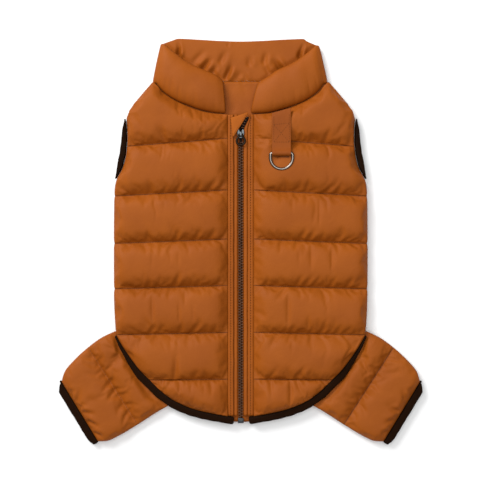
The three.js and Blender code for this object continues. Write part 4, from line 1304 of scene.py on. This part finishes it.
# %% Slider
SLIDER_RIGHT = [
    # x and y of the plate's right half, from its flat end to the notch where the chains part
    (3.0, 108.4), (3.3, 110.5), (3.6, 114.5), (3.3, 116.8), (2.4, 117.8), (1.6, 117.3),
    (1.2, 115.4),
]
SLIDER_PLATE = [*SLIDER_RIGHT, (0, 114.5), *((-x, y) for x, y in SLIDER_RIGHT[::-1])]
BRIDGE_PATH = [
    (109.9, 10.8), (109.9, 12.4), (110.3, 13.6), (111.4, 14.05), (113.4, 14.0), (114.6, 13.4),
    (115.1, 12.2), (115.2, 10.8),
]
BRIDGE_HALF, BRIDGE_THIN = 1.1, 0.5
bridge_route = Route([(0, y, z) for y, z in BRIDGE_PATH])


def rooted(value):
    """The square root with its sign, which makes a circle's section nearly square."""
    return math.copysign(abs(value) ** 0.5, value)


def bridge_place(u, v):
    heading = bridge_route.heading(v, 0.05)
    rise = Vector((0, -heading.z, heading.y))
    wide, deep = rooted(math.cos(2 * math.pi * u)), rooted(math.sin(2 * math.pi * u))
    return bridge_route.at(v) + Vector((BRIDGE_HALF * wide, 0, 0)) + rise * BRIDGE_THIN * deep


slider_mesh = joined([
    prism(SLIDER_PLATE, 10.1, 11.2, 0.3), prism(block(2.6, 108.6, 113.9), 6.7, 10.4, 0.3),
    wrapped(16, 40, bridge_place),
])
slider = dress(finish_mesh(slider_mesh, "zip_slider_cast"), "zip_slider")
print("slider:", len(slider.data.polygons), "faces")

# %% [markdown]
# The pull hangs from the bridge by a narrow eye and widens to a ring for a finger or a cord. A
# torus would miss the eye, so a round section is carried along a rough outline whose corners are
# cut off until it is smooth. The bottom stop is crimped over both tapes, with a ridge across it.

# %% Pull and bottom stop
PULL_OUTLINE = [
    (0, 112.2), (1.7, 112.3), (1.9, 110.6), (2.3, 109.0), (3.9, 107.6), (4.4, 105.2), (3.9, 102.6),
    (1.9, 101.4), (0, 101.5),
]
PULL_Z, PULL_HALF, PULL_THIN = 12.2, 1.1, 0.6
pull_right = [Vector((x, y, PULL_Z)) for x, y in PULL_OUTLINE]
pull_left = [Vector((-p.x, p.y, p.z)) for p in pull_right[-2:0:-1]]
pull_mesh = wire_loop(rounded(pull_right + pull_left, turns=2), PULL_HALF, PULL_THIN)
pull = dress(finish_mesh(pull_mesh, "zip_pull_loop"), "zip_pull", body="pull")

stop_mesh = joined([
    prism(block(3.1, -191.2, -185.8), 6.6, 9.0, 0.5),
    prism(block(2.3, -189.4, -187.4), 8.8, 9.6, 0.3),
])
bottom_stop = finish_mesh(stop_mesh, "zip_bottom_stop_crimped")
dress(bottom_stop, "zip_bottom_stop")
print("pull and stop:", [len(piece.data.polygons) for piece in (pull, bottom_stop)], "faces")

# %% [markdown]
# The zip garage is a small folded triangle of shell cloth. It hides the slider when the zip is
# closed to the top, and its fold runs across the gap of the open end. A thin prism with a well
# rounded edge is enough for it, with a little belly so that light runs over it as over cloth.

# %% Zip garage
GARAGE_OUTLINE = [
    (-8.6, 109.6), (-7.4, 109.6), (-2.0, 118.1), (3.0, 126.2), (7.9, 134.2), (6.9, 135.2),
    (1, 133.1), (-5, 131.1), (-11, 129.4), (-10.4, 127.4), (-9.5, 118.5),
]
GARAGE_LOW, GARAGE_HIGH, GARAGE_ROUND, GARAGE_BELLY = 11.5, 13.2, 0.7, 0.25
garage_mesh = prism(GARAGE_OUTLINE, GARAGE_LOW, GARAGE_HIGH, GARAGE_ROUND)
wide_faces = [face for face in garage_mesh.faces if len(face.verts) > 4]
bmesh.ops.triangulate(garage_mesh, faces=wide_faces)
bmesh.ops.subdivide_edges(garage_mesh, edges=garage_mesh.edges[:], cuts=2, use_grid_fill=True)
for vertex in garage_mesh.verts:
    if vertex.co.z > GARAGE_HIGH - 0.6:
        vertex.co.z += GARAGE_BELLY * noise.noise(Vector((vertex.co.x / 4, vertex.co.y / 6, 0)))
garage = dress(finish_mesh(garage_mesh, "zip_garage_folded"), "zip_garage")
print("garage:", len(garage.data.polygons), "faces")

# %% [markdown]
# The lead strap is one length of cloth tape. It comes out of the neck seam, runs down the coat,
# turns round the bar of the D-ring and goes back up beneath itself to the same seam. A row of
# points follows that path, and a Solidify modifier gives the tape its thickness.

# %% Strap
STRAP_X, STRAP_HALF = 42.5, 9.8
STRAP_THICK = 1.1
STRAP_BEND_Y, STRAP_END_Y = 112.0, 136.6
SEAM_SLOPE = 0.28
RING_Y, RING_Z = 92.0, 20.4
STRAP_PATH = [
    # y and z of the tape: down beneath, round the ring's bar, and up on top
    (STRAP_END_Y, 16.9), (132.5, 17.95), (126, 18.4), (110, 18.55), (99, 18.5), (95.0, 18.2),
    (93.4, 17.95), (92, 17.85), (90.6, 18.25), (89.65, 19.4), (89.4, 20.4), (89.65, 21.5),
    (90.6, 22.6), (92, 22.95), (93.6, 22.6), (95.4, 21.5), (98, 20.45), (102, 19.95), (110, 19.8),
    (126, 19.65), (132.5, 19.15), (STRAP_END_Y, 18.1),
]
strap_route = Route([(0, y, z) for y, z in STRAP_PATH])
STRAP_COLUMNS, STRAP_ROWS = 20, 110


def seam_slope(x, y):
    """The strap's end is cut to the slope of the neck seam, so its rows slope more and more."""
    share = clamp((y - STRAP_BEND_Y) / (STRAP_END_Y - STRAP_BEND_Y))
    return x, y + share * SEAM_SLOPE * (x - STRAP_X)


strap_mesh, places = grid(STRAP_COLUMNS, STRAP_ROWS)
along_layer = strap_mesh.verts.layers.float["along"]
for (column, row), vertex in places.items():
    spot = strap_route.at(row / STRAP_ROWS)
    across = STRAP_HALF * (2 * column / STRAP_COLUMNS - 1)
    top_layer = smooth((row / STRAP_ROWS - 0.55) * 8)
    wave = 0.16 * noise.noise(Vector((across / 4, spot.y / 7, 3))) * top_layer
    vertex.co = Vector((*seam_slope(STRAP_X + across, spot.y), spot.z + wave))
    vertex[along_layer] = strap_route.length * row / STRAP_ROWS
strap = finish_mesh(strap_mesh, "lead_strap_folded")
wall = strap.modifiers.new("thickness", "SOLIDIFY")
wall.thickness = STRAP_THICK * MM
wall.offset = 0.0
soft_edge = strap.modifiers.new("soft edge", "BEVEL")
soft_edge.width = 0.3 * MM
soft_edge.segments = 2
dress(strap, "strap")

print("strap:", round(strap_route.length), "mm long and", 2 * STRAP_HALF, "mm wide")

# %% [markdown]
# The D-ring is bent from thick wire. Its straight bar lies in the strap's fold, its two corners are
# tight and its bow is wide, so its line is three arcs. It droops a little towards the cloth.

# %% D-ring
RING_HALF, RING_WIRE, RING_CORNER, RING_ARM = 11.6, 1.5, 2.2, 5.0
RING_DROP = 1.2


def arc(x, y, radius, start, end, steps):
    """Points on an arc about x and y, from one angle to the other."""
    turns = [mix(start, end, step / steps) for step in range(steps + 1)]
    return [Vector((x + radius * math.cos(turn), y + radius * math.sin(turn), 0)) for turn in turns]


ring_path = arc(-RING_HALF + RING_CORNER, -RING_CORNER, RING_CORNER, math.pi, math.pi / 2, 8)
ring_path += arc(RING_HALF - RING_CORNER, -RING_CORNER, RING_CORNER, math.pi / 2, 0, 8)
ring_path += arc(0, -RING_ARM, RING_HALF, 0, -math.pi, 40)
for point in ring_path:
    point.z = RING_Z + RING_DROP * point.y / (RING_HALF + RING_ARM)
    point.x += STRAP_X
    point.y += RING_Y
d_ring = finish_mesh(wire_loop(ring_path, RING_WIRE, RING_WIRE, rows=160), "d_ring_wire")
dress(d_ring, "d_ring", body="ring")
print("ring:", 2 * (RING_HALF + RING_WIRE), "mm wide")

# %% [markdown]
# Thread crosses the cloth as short round stitches with small gaps, pulled into it. Each is a small
# ball stretched to a stitch, dropped on the cloth beneath it, and joined in one mesh for each kind
# of seam. They are far too many to place by hand, so the routes of the seams place them.

# %% Stitches
DOWN = Vector((0, 0, -1))


def surface_tree(pieces):
    """The surfaces of some pieces, to drop points on."""
    corners = []
    faces = []
    for piece in pieces:
        shown = evaluated(piece).data
        first = len(corners)
        corners.extend(vertex.co.copy() for vertex in shown.vertices)
        faces.extend([first + index for index in face.vertices] for face in shown.polygons)
    return BVHTree.FromPolygons(corners, faces)


def stitches(name, routes, tree, pitch, size, sink=0.1):
    """Rows of stitches along routes in X and Y. size is the length and width of a stitch."""
    mesh = bmesh.new()
    long, wide = size
    for route in routes:
        count = max(1, int(route.length / pitch))
        for i in range(count):
            share = (i + 0.5) / count
            spot = route.at(share)
            above = Vector((spot.x * MM, spot.y * MM, 1))
            hit = tree.ray_cast(above, DOWN)[0]
            if hit is None:
                continue
            step = route.heading(share, min(0.4, 0.8 / route.length))
            before = tree.ray_cast(above - step * 0.5 * long * MM, DOWN)[0] or hit
            after = tree.ray_cast(above + step * 0.5 * long * MM, DOWN)[0] or hit
            run = after - before
            if run.length < 1e-5 or run.length > 2.5 * long * MM:
                run = step.copy()
            turn = run.to_track_quat("X", "Z").to_matrix().to_4x4()
            shape = Matrix.Diagonal((long / 2, wide / 2, wide / 2.2, 1))
            lift = Matrix.Translation(hit / MM + Vector((0, 0, wide * 0.25 - sink)))
            bmesh.ops.create_icosphere(mesh, subdivisions=1, radius=1.0, matrix=lift @ turn @ shape)
    piece = finish_mesh(mesh, name)
    to_metres(piece)
    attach(piece, "coat")
    return piece


def line(points):
    return Route([(x, y, 0) for x, y in points])


def shifted(route, distance):
    """A route beside another one, to its left."""
    points = []
    for share in [i / 60 for i in range(61)]:
        heading = route.heading(share)
        points.append(route.at(share) + Vector((-heading.y, heading.x, 0)) * distance)
    return Route(points)


# %% [markdown]
# Each seam's line is known from the cells above, so its stitches follow the same curves. Quilting
# thread is fine, the plackets' topstitching is heavier, and the strap has a box with a cross, which
# is how a maker sews a strap that has to take a pull.

# %% Rows of stitches
# pitch, then length and width of a stitch
QUILTING, TOPSTITCH, BINDING_STITCH = (2.9, (2.1, 0.5)), (2.7, (1.7, 0.7)), (2.4, (1.8, 0.5))
BOX_STITCH, GARAGE_STITCH = (2.3, (1.7, 0.5)), (2.4, (1.7, 0.45))
QUILTING_SINK = 0.05

front_tree = surface_tree(fronts.values())
quilt_routes = []
for side in SIDES.values():
    for seam in QUILT_SEAMS:
        end = row_end(lambda x: seam_y(seam, x), turns=20)
        start = STRAP_EDGE_X if side > 0 and seam == QUILT_SEAMS[0] else ZIP_EDGE + 1
        ends = (start, end - 1.5)
        quilt_routes.append(line([(side * x, seam_y(seam, x)) for x in ends]))
threads = [stitches("quilting_stitches", quilt_routes, front_tree, *QUILTING, QUILTING_SINK)]

leg_ends = [leg_point(0.5, share) for share in (0.03, 0.97)]
leg_routes = [line([(side * x, y) for x, y in leg_ends]) for side in SIDES.values()]
leg_tree = surface_tree(legs)
threads.append(stitches("leg_stitches", leg_routes, leg_tree, *QUILTING, QUILTING_SINK))

placket_routes = [
    line([(side * STITCH_LINE, PLACKET_LOW + 1), (side * STITCH_LINE, PLACKET_HIGH - 2)])
    for side in SIDES.values()
]
placket_thread = stitches("placket_stitches", placket_routes, surface_tree(plackets), *TOPSTITCH)

BINDING_STITCH_SHARE = 0.22
HEM_STITCH_IN, CUFF_STITCH_IN = 1.75, 1.9
binding_routes = []
for word, side in SIDES.items():
    edge = [hem_routes[word].at(i / 40) for i in range(41)]
    edge = Route([(side * point.x, point.y, 0) for point in edge])
    binding_routes.append(shifted(edge, -side * HEM_STITCH_IN))
    arm = [Vector(row[:2]).lerp(Vector(row[2:]), BINDING_STITCH_SHARE) for row in ARMHOLE_ROWS]
    binding_routes.append(line([(side * point.x, point.y) for point in arm]))
    cuff = [CUFF_HIGH.lerp(CUFF_LOW, t) + CUFF_OUT * CUFF_STITCH_IN for t in (0.04, 0.96)]
    binding_routes.append(line([(side * point.x, point.y) for point in cuff]))
binding_tree = surface_tree(bindings)
binding_thread = stitches("binding_stitches", binding_routes, binding_tree, *BINDING_STITCH)

STITCH_IN = 1.7
left, right = STRAP_X - STRAP_HALF + STITCH_IN, STRAP_X + STRAP_HALF - STITCH_IN
low, high = 103.4, 122.4
STRAP_ROWS_SEWN = [
    # the two sides, the box's lower and upper end, and its cross
    ((left, low), (left, 132)), ((right, low), (right, 131)), ((left, low), (right, low)),
    ((left, high), (right, high)), ((left, low), (right, high)), ((left, high), (right, low)),
]
strap_routes = [line([seam_slope(*end) for end in ends]) for ends in STRAP_ROWS_SEWN]
threads.append(stitches("strap_stitches", strap_routes, surface_tree([strap]), *BOX_STITCH))

garage_edge = line([(-7.4, 112.4), (5.6, 132.9)])
garage_tree = surface_tree([garage])
threads.append(stitches("garage_stitches", [garage_edge], garage_tree, *GARAGE_STITCH))
all_thread = [*threads, placket_thread, binding_thread]
print("stitches:", sum(len(piece.data.polygons) for piece in all_thread) // 20)

# %% [markdown]
# The picture is a catalogue cut-out: a coat on white, seen from straight above, lit by a large soft
# box near its upper left. The low lamp is what shows the quilting, since each chamber turns one
# side to it and one away. A pale floor takes the soft shadow.

# %% Camera, floor and light
CAMERA_HEIGHT = 1.41
FRAME_WIDTH, FRAME_Z = 0.504, 0.01
PHOTO_CENTRE = (-0.0008, 0.0013)
SENSOR = 36.0

camera_data = bpy.data.cameras.new("camera")
camera_data.sensor_width = SENSOR
camera_data.lens = SENSOR * (CAMERA_HEIGHT - FRAME_Z) / FRAME_WIDTH
camera = bpy.data.objects.new("camera", camera_data)
camera.location = (PHOTO_CENTRE[0], PHOTO_CENTRE[1], CAMERA_HEIGHT)
bpy.context.scene.collection.objects.link(camera)
bpy.context.scene.camera = camera

floor_mesh = bmesh.new()
bmesh.ops.create_grid(floor_mesh, x_segments=4, y_segments=4, size=3.0)
floor = finish_mesh(floor_mesh, "floor")
floor.location.z = -0.0002


def area_light(name, place, aim, size, power):
    data = bpy.data.lights.new(name, "AREA")
    data.size = size
    data.energy = power
    light = bpy.data.objects.new(name, data)
    light.location = place
    light.rotation_euler = (Vector(aim) - Vector(place)).to_track_quat("-Z", "Y").to_euler()
    bpy.context.scene.collection.objects.link(light)
    return light


area_light("key", place=(-1.15, 1.3, 1.3), aim=(0, 0, 0), size=1.1, power=54)
area_light("overhead", place=(0.1, 0.1, 2.2), aim=(0, 0, 0), size=2.0, power=36)
world = bpy.data.worlds.new("studio")
world.use_nodes = True
background = world.node_tree.nodes["Background"]
background.inputs["Color"].default_value = (1, 1, 1, 1)
background.inputs["Strength"].default_value = 0.4
bpy.context.scene.world = world
bpy.context.scene.view_settings.view_transform = "Standard"
print("lens:", round(camera_data.lens), "mm at", CAMERA_HEIGHT, "m")

# %% [markdown]
# A material is a small tree of nodes. It could be built in the editor, but written out it can be
# read and changed. One helper turns a hex colour into the linear values that Cycles reckons with,
# and one adds a node with its settings and links. Patterns are placed by Object coordinates.

# %% Material helpers
def linear(colour):
    """An sRGB hex colour as linear red, green, blue and alpha."""
    parts = [int(colour[i:i + 2], 16) / 255 for i in (1, 3, 5)]
    return [p / 12.92 if p <= 0.04045 else ((p + 0.055) / 1.055) ** 2.4 for p in parts] + [1.0]


def add_node(tree, kind, settings=None, **links):
    """Adds a node. Settings name its properties or input sockets, links name its input sockets."""
    node = tree.nodes.new(kind)
    for key, value in (settings or {}).items():
        if key in node.inputs:
            node.inputs[key].default_value = value
        else:
            setattr(node, key, value)
    for key, source in links.items():
        tree.links.new(source, node.inputs[key.replace("_", " ")])
    return node


def new_material(name):
    """A new material, its tree, its surface node and the Object coordinates."""
    material = bpy.data.materials.new(name)
    material.use_nodes = True
    tree = material.node_tree
    place = add_node(tree, "ShaderNodeTexCoord").outputs["Object"]
    return material, tree, tree.nodes["Principled BSDF"], place


def cover(material, *pieces):
    for piece in pieces:
        piece.data.materials.append(material)


print("middle grey in linear values:", round(linear("#808080")[0], 3))


# %% [markdown]
# The shell is down-proof nylon taffeta: a tight plain weave, dyed, and calendered on one face. It
# gives the eye a dull orange brown, a faint soft gloss and hundreds of tiny crinkles. A stitched
# line looks darker, since light hardly gets into its groove, so the points there carry a mark.
# Its threads are too fine to show, so the weave is drawn a few times as coarse as it is.

# %% Shell
WEAVE_MM = 0.45
CRINKLE_MM = 4.0
WAVES_PER_UNIT = 20


def mixed(tree, low, high, share):
    """One colour into another by a share. A colour is a hex value or another node's output."""
    node = add_node(tree, "ShaderNodeMix", {"data_type": "RGBA"})
    for socket, value in ((6, low), (7, high)):
        if isinstance(value, str):
            node.inputs[socket].default_value = linear(value)
        else:
            tree.links.new(value, node.inputs[socket])
    tree.links.new(share, node.inputs[0])
    return node.outputs[2]


def weave_height(tree, place, pitch):
    """Two crossed waves, as the threads of a plain weave."""
    scale = 1000 / pitch / WAVES_PER_UNIT
    waves = []
    for direction in ("X", "Y"):
        settings = {"bands_direction": direction, "Scale": scale, "Distortion": 0.6}
        waves.append(add_node(tree, "ShaderNodeTexWave", settings, Vector=place).outputs["Fac"])
    node = add_node(tree, "ShaderNodeMath", {"operation": "MULTIPLY"})
    tree.links.new(waves[0], node.inputs[0])
    tree.links.new(waves[1], node.inputs[1])
    return node.outputs[0]


def bumped(tree, surface, layers):
    """Stacks bumps on a surface. A layer is a height, a strength and a distance in millimetres."""
    normal = None
    for height, strength, distance in layers:
        bump = add_node(tree, "ShaderNodeBump", {"Strength": strength, "Distance": distance * MM},
                        Height=height)
        if normal:
            tree.links.new(normal, bump.inputs["Normal"])
        normal = bump.outputs["Normal"]
    tree.links.new(normal, surface.inputs["Normal"])


def with_painted_shade(tree, surface, cloth, shade):
    """The cloth's own colour, turned to a painted shade where its points are marked."""
    mark = add_node(tree, "ShaderNodeAttribute", {"attribute_name": "seam"}).outputs["Fac"]
    tree.links.new(mixed(tree, cloth, shade, mark), surface.inputs["Base Color"])


def nylon_taffeta(name, colour, shade, seam_shade):
    material, tree, surface, place = new_material(name)
    cloud = add_node(tree, "ShaderNodeTexNoise", {"Scale": 30.0, "Detail": 4.0}, Vector=place)
    spread = add_node(tree, "ShaderNodeMapRange", {"From Min": 0.35, "From Max": 0.65},
                      Value=cloud.outputs["Fac"])
    cloth = mixed(tree, shade, colour, spread.outputs["Result"])
    with_painted_shade(tree, surface, cloth, seam_shade)
    settings = {"Scale": 1000 / CRINKLE_MM, "Detail": 3.0, "Distortion": 1.2}
    crinkle = add_node(tree, "ShaderNodeTexNoise", settings, Vector=place)
    broad = add_node(tree, "ShaderNodeTexNoise", {"Scale": 70.0, "Detail": 2.0, "Distortion": 0.8},
                     Vector=place)
    bumped(tree, surface, [
        (weave_height(tree, place, WEAVE_MM), 0.12, 0.05),
        (crinkle.outputs["Fac"], 0.35, 0.3), (broad.outputs["Fac"], 0.35, 1.1),
    ])
    surface.inputs["Roughness"].default_value = 0.6
    surface.inputs["Specular IOR Level"].default_value = 0.12
    return material


shell_cloth = nylon_taffeta("nylon taffeta shell", "#87440A", "#803F08", "#5A2A09")
inner_cloth = nylon_taffeta("nylon taffeta inside", "#87440A", "#7C3C08", "#5A2A09")
cover(shell_cloth, *fronts.values(), *legs, collar, *plackets)
cover(inner_cloth, back)
# The garage takes a lighter, more orange copy of the shell's cloth, so it shows brighter than the
# cloth round it.
cover(nylon_taffeta("lighter nylon taffeta garage", "#984E08", "#8C4607", "#6A320A"), garage)

# %% [markdown]
# The strap and the zip's tape are woven from polyester yarn. The tape's herringbone is 1 mm fine,
# so it is drawn as plain ribs at that pitch. Under the chain and above the slider it lies in deep
# shade, which is painted on it nearly black. The strap is flat tape, a little darker than the
# shell.

# %% Woven tapes
def woven_tape(name, colour, shade, pitch):
    material, tree, surface, place = new_material(name)
    height = weave_height(tree, place, pitch)
    yarn = mixed(tree, shade, colour, height)
    # Painted shade: marked points of the tape turn nearly black.
    with_painted_shade(tree, surface, yarn, "#140A05")
    rough = add_node(tree, "ShaderNodeTexNoise", {"Scale": 260.0, "Detail": 3.0}, Vector=place)
    bumped(tree, surface, [(height, 0.3, 0.06), (rough.outputs["Fac"], 0.3, 0.25)])
    surface.inputs["Roughness"].default_value = 0.75
    surface.inputs["Specular IOR Level"].default_value = 0.12
    return material


cover(nylon_taffeta("polyester strap tape", "#7A3B08", "#723607", "#522608"), strap)
cover(woven_tape("polyester zip tape", "#88440C", "#763A0A", 1.0), zip_tape)

# %% [markdown]
# Fold-over elastic is knitted from dull nylon round rubber threads. Its ribs lie across the tape,
# about 1.1 mm apart, and its short fibres give a faint brown bloom. The ribs follow the tape's own
# length, which each point carries, so that they turn with it round the hem.

# %% Elastic
RIB_MM = 1.1


def ribbed_elastic(name, colour, bloom):
    material, tree, surface, place = new_material(name)
    along = add_node(tree, "ShaderNodeAttribute", {"attribute_name": "along"})
    turns = add_node(tree, "ShaderNodeMath", {"operation": "MULTIPLY"})
    tree.links.new(along.outputs["Fac"], turns.inputs[0])
    turns.inputs[1].default_value = 2 * math.pi / RIB_MM
    ribs = add_node(tree, "ShaderNodeMath", {"operation": "SINE"})
    tree.links.new(turns.outputs[0], ribs.inputs[0])
    share = add_node(tree, "ShaderNodeMapRange", {"From Min": -1.0, "From Max": 1.0},
                     Value=ribs.outputs[0])
    fuzz = add_node(tree, "ShaderNodeTexNoise", {"Scale": 900.0, "Detail": 3.0}, Vector=place)
    tree.links.new(mixed(tree, colour, bloom, fuzz.outputs["Fac"]), surface.inputs["Base Color"])
    bumped(tree, surface, [(share.outputs["Result"], 0.6, 0.22), (fuzz.outputs["Fac"], 0.4, 0.2)])
    surface.inputs["Roughness"].default_value = 0.85
    surface.inputs["Specular IOR Level"].default_value = 0.04
    return material


cover(ribbed_elastic("ribbed fold-over elastic", "#130702", "#1D0D03"), *bindings)

# %% [markdown]
# Zip teeth are moulded acetal, a hard plastic that comes from the mould with a slight gloss. The
# slider, the pull and the stop are cast zinc, and the ring is bent steel wire. All are plated to a
# dark nickel called gunmetal. It has fine polishing marks, and wear has made it a little rougher in
# clouds. Its upper side is painted bright as a painted highlight, and its flanks dark as painted
# shade.

# %% Acetal and gunmetal
def moulded_acetal(name, colour):
    material, tree, surface, place = new_material(name)
    grain = add_node(tree, "ShaderNodeTexNoise", {"Scale": 1400.0, "Detail": 2.0}, Vector=place)
    bumped(tree, surface, [(grain.outputs["Fac"], 0.15, 0.05)])
    tint = add_node(tree, "ShaderNodeTexNoise", {"Scale": 160.0}, Vector=place)
    shade = mixed(tree, colour, "#62402A", tint.outputs["Fac"])
    tree.links.new(shade, surface.inputs["Base Color"])
    surface.inputs["Roughness"].default_value = 0.4
    surface.inputs["Specular IOR Level"].default_value = 0.15
    return material


def gunmetal_plating(name, colour, low, high):
    material, tree, surface, place = new_material(name)
    wear = add_node(tree, "ShaderNodeTexNoise", {"Scale": 380.0, "Detail": 5.0}, Vector=place)
    rough = add_node(tree, "ShaderNodeMapRange", {"To Min": low, "To Max": high},
                     Value=wear.outputs["Fac"])
    tree.links.new(rough.outputs["Result"], surface.inputs["Roughness"])
    polish = add_node(tree, "ShaderNodeTexNoise", {"Scale": 2200.0, "Detail": 2.0}, Vector=place)
    bumped(tree, surface, [(polish.outputs["Fac"], 0.08, 0.03)])
    # Painted highlight: faces that point up take the colour, and the flanks a dark painted shade.
    facing = add_node(tree, "ShaderNodeTexCoord").outputs["Normal"]
    upward = add_node(tree, "ShaderNodeSeparateXYZ", Vector=facing)
    painted_highlight = add_node(tree, "ShaderNodeMapRange", {"From Min": 0.62, "From Max": 0.93},
                      Value=upward.outputs["Z"])
    shade = mixed(tree, "#1A1613", colour, painted_highlight.outputs["Result"])
    tree.links.new(shade, surface.inputs["Base Color"])
    surface.inputs["Metallic"].default_value = 1.0
    return material


cover(moulded_acetal("moulded acetal teeth", "#2E1A10"), chain, upper_teeth)
cover(gunmetal_plating("gunmetal plated slider", "#5E6366", 0.32, 0.5), slider)
cover(gunmetal_plating("gunmetal plated stop", "#3C3E40", 0.35, 0.55), bottom_stop)
cover(gunmetal_plating("dark plated pull", "#241C16", 0.35, 0.5), pull)
cover(gunmetal_plating("gunmetal plated ring", "#7A7068", 0.2, 0.34), d_ring)

# %% [markdown]
# The thread is spun polyester, dyed to the cloth. It is matt and painted a little darker than the
# shell, as shade where it sinks into it. The plackets have a browner thread, and the elastic a
# nearly black one.

# %% Thread
def spun_thread(name, colour, shade):
    material, tree, surface, place = new_material(name)
    twist = add_node(tree, "ShaderNodeTexNoise", {"Scale": 1500.0, "Detail": 2.0}, Vector=place)
    tree.links.new(mixed(tree, shade, colour, twist.outputs["Fac"]), surface.inputs["Base Color"])
    bumped(tree, surface, [(twist.outputs["Fac"], 0.4, 0.1)])
    surface.inputs["Roughness"].default_value = 0.8
    surface.inputs["Specular IOR Level"].default_value = 0.2
    return material


cover(spun_thread("spun polyester thread", "#6E3808", "#4C2406"), *threads)
cover(spun_thread("brown polyester thread", "#4A2206", "#2E1404"), placket_thread)
cover(spun_thread("dark polyester thread", "#1A100A", "#0E0805"), binding_thread)

# %% [markdown]
# The backdrop is matt white paper on a roll. It is a little darker than white, so that the light on
# it doesn't run out of range and the shadow of the coat still shows.

# %% Backdrop
def matt_paper(name, colour):
    material, tree, surface, place = new_material(name)
    grain = add_node(tree, "ShaderNodeTexNoise", {"Scale": 400.0}, Vector=place)
    bumped(tree, surface, [(grain.outputs["Fac"], 0.05, 0.1)])
    surface.inputs["Base Color"].default_value = linear(colour)
    surface.inputs["Roughness"].default_value = 0.95
    surface.inputs["Specular IOR Level"].default_value = 0.1
    return material


cover(matt_paper("paper backdrop", "#E8E8E8"), floor)
print("materials:", len(bpy.data.materials))
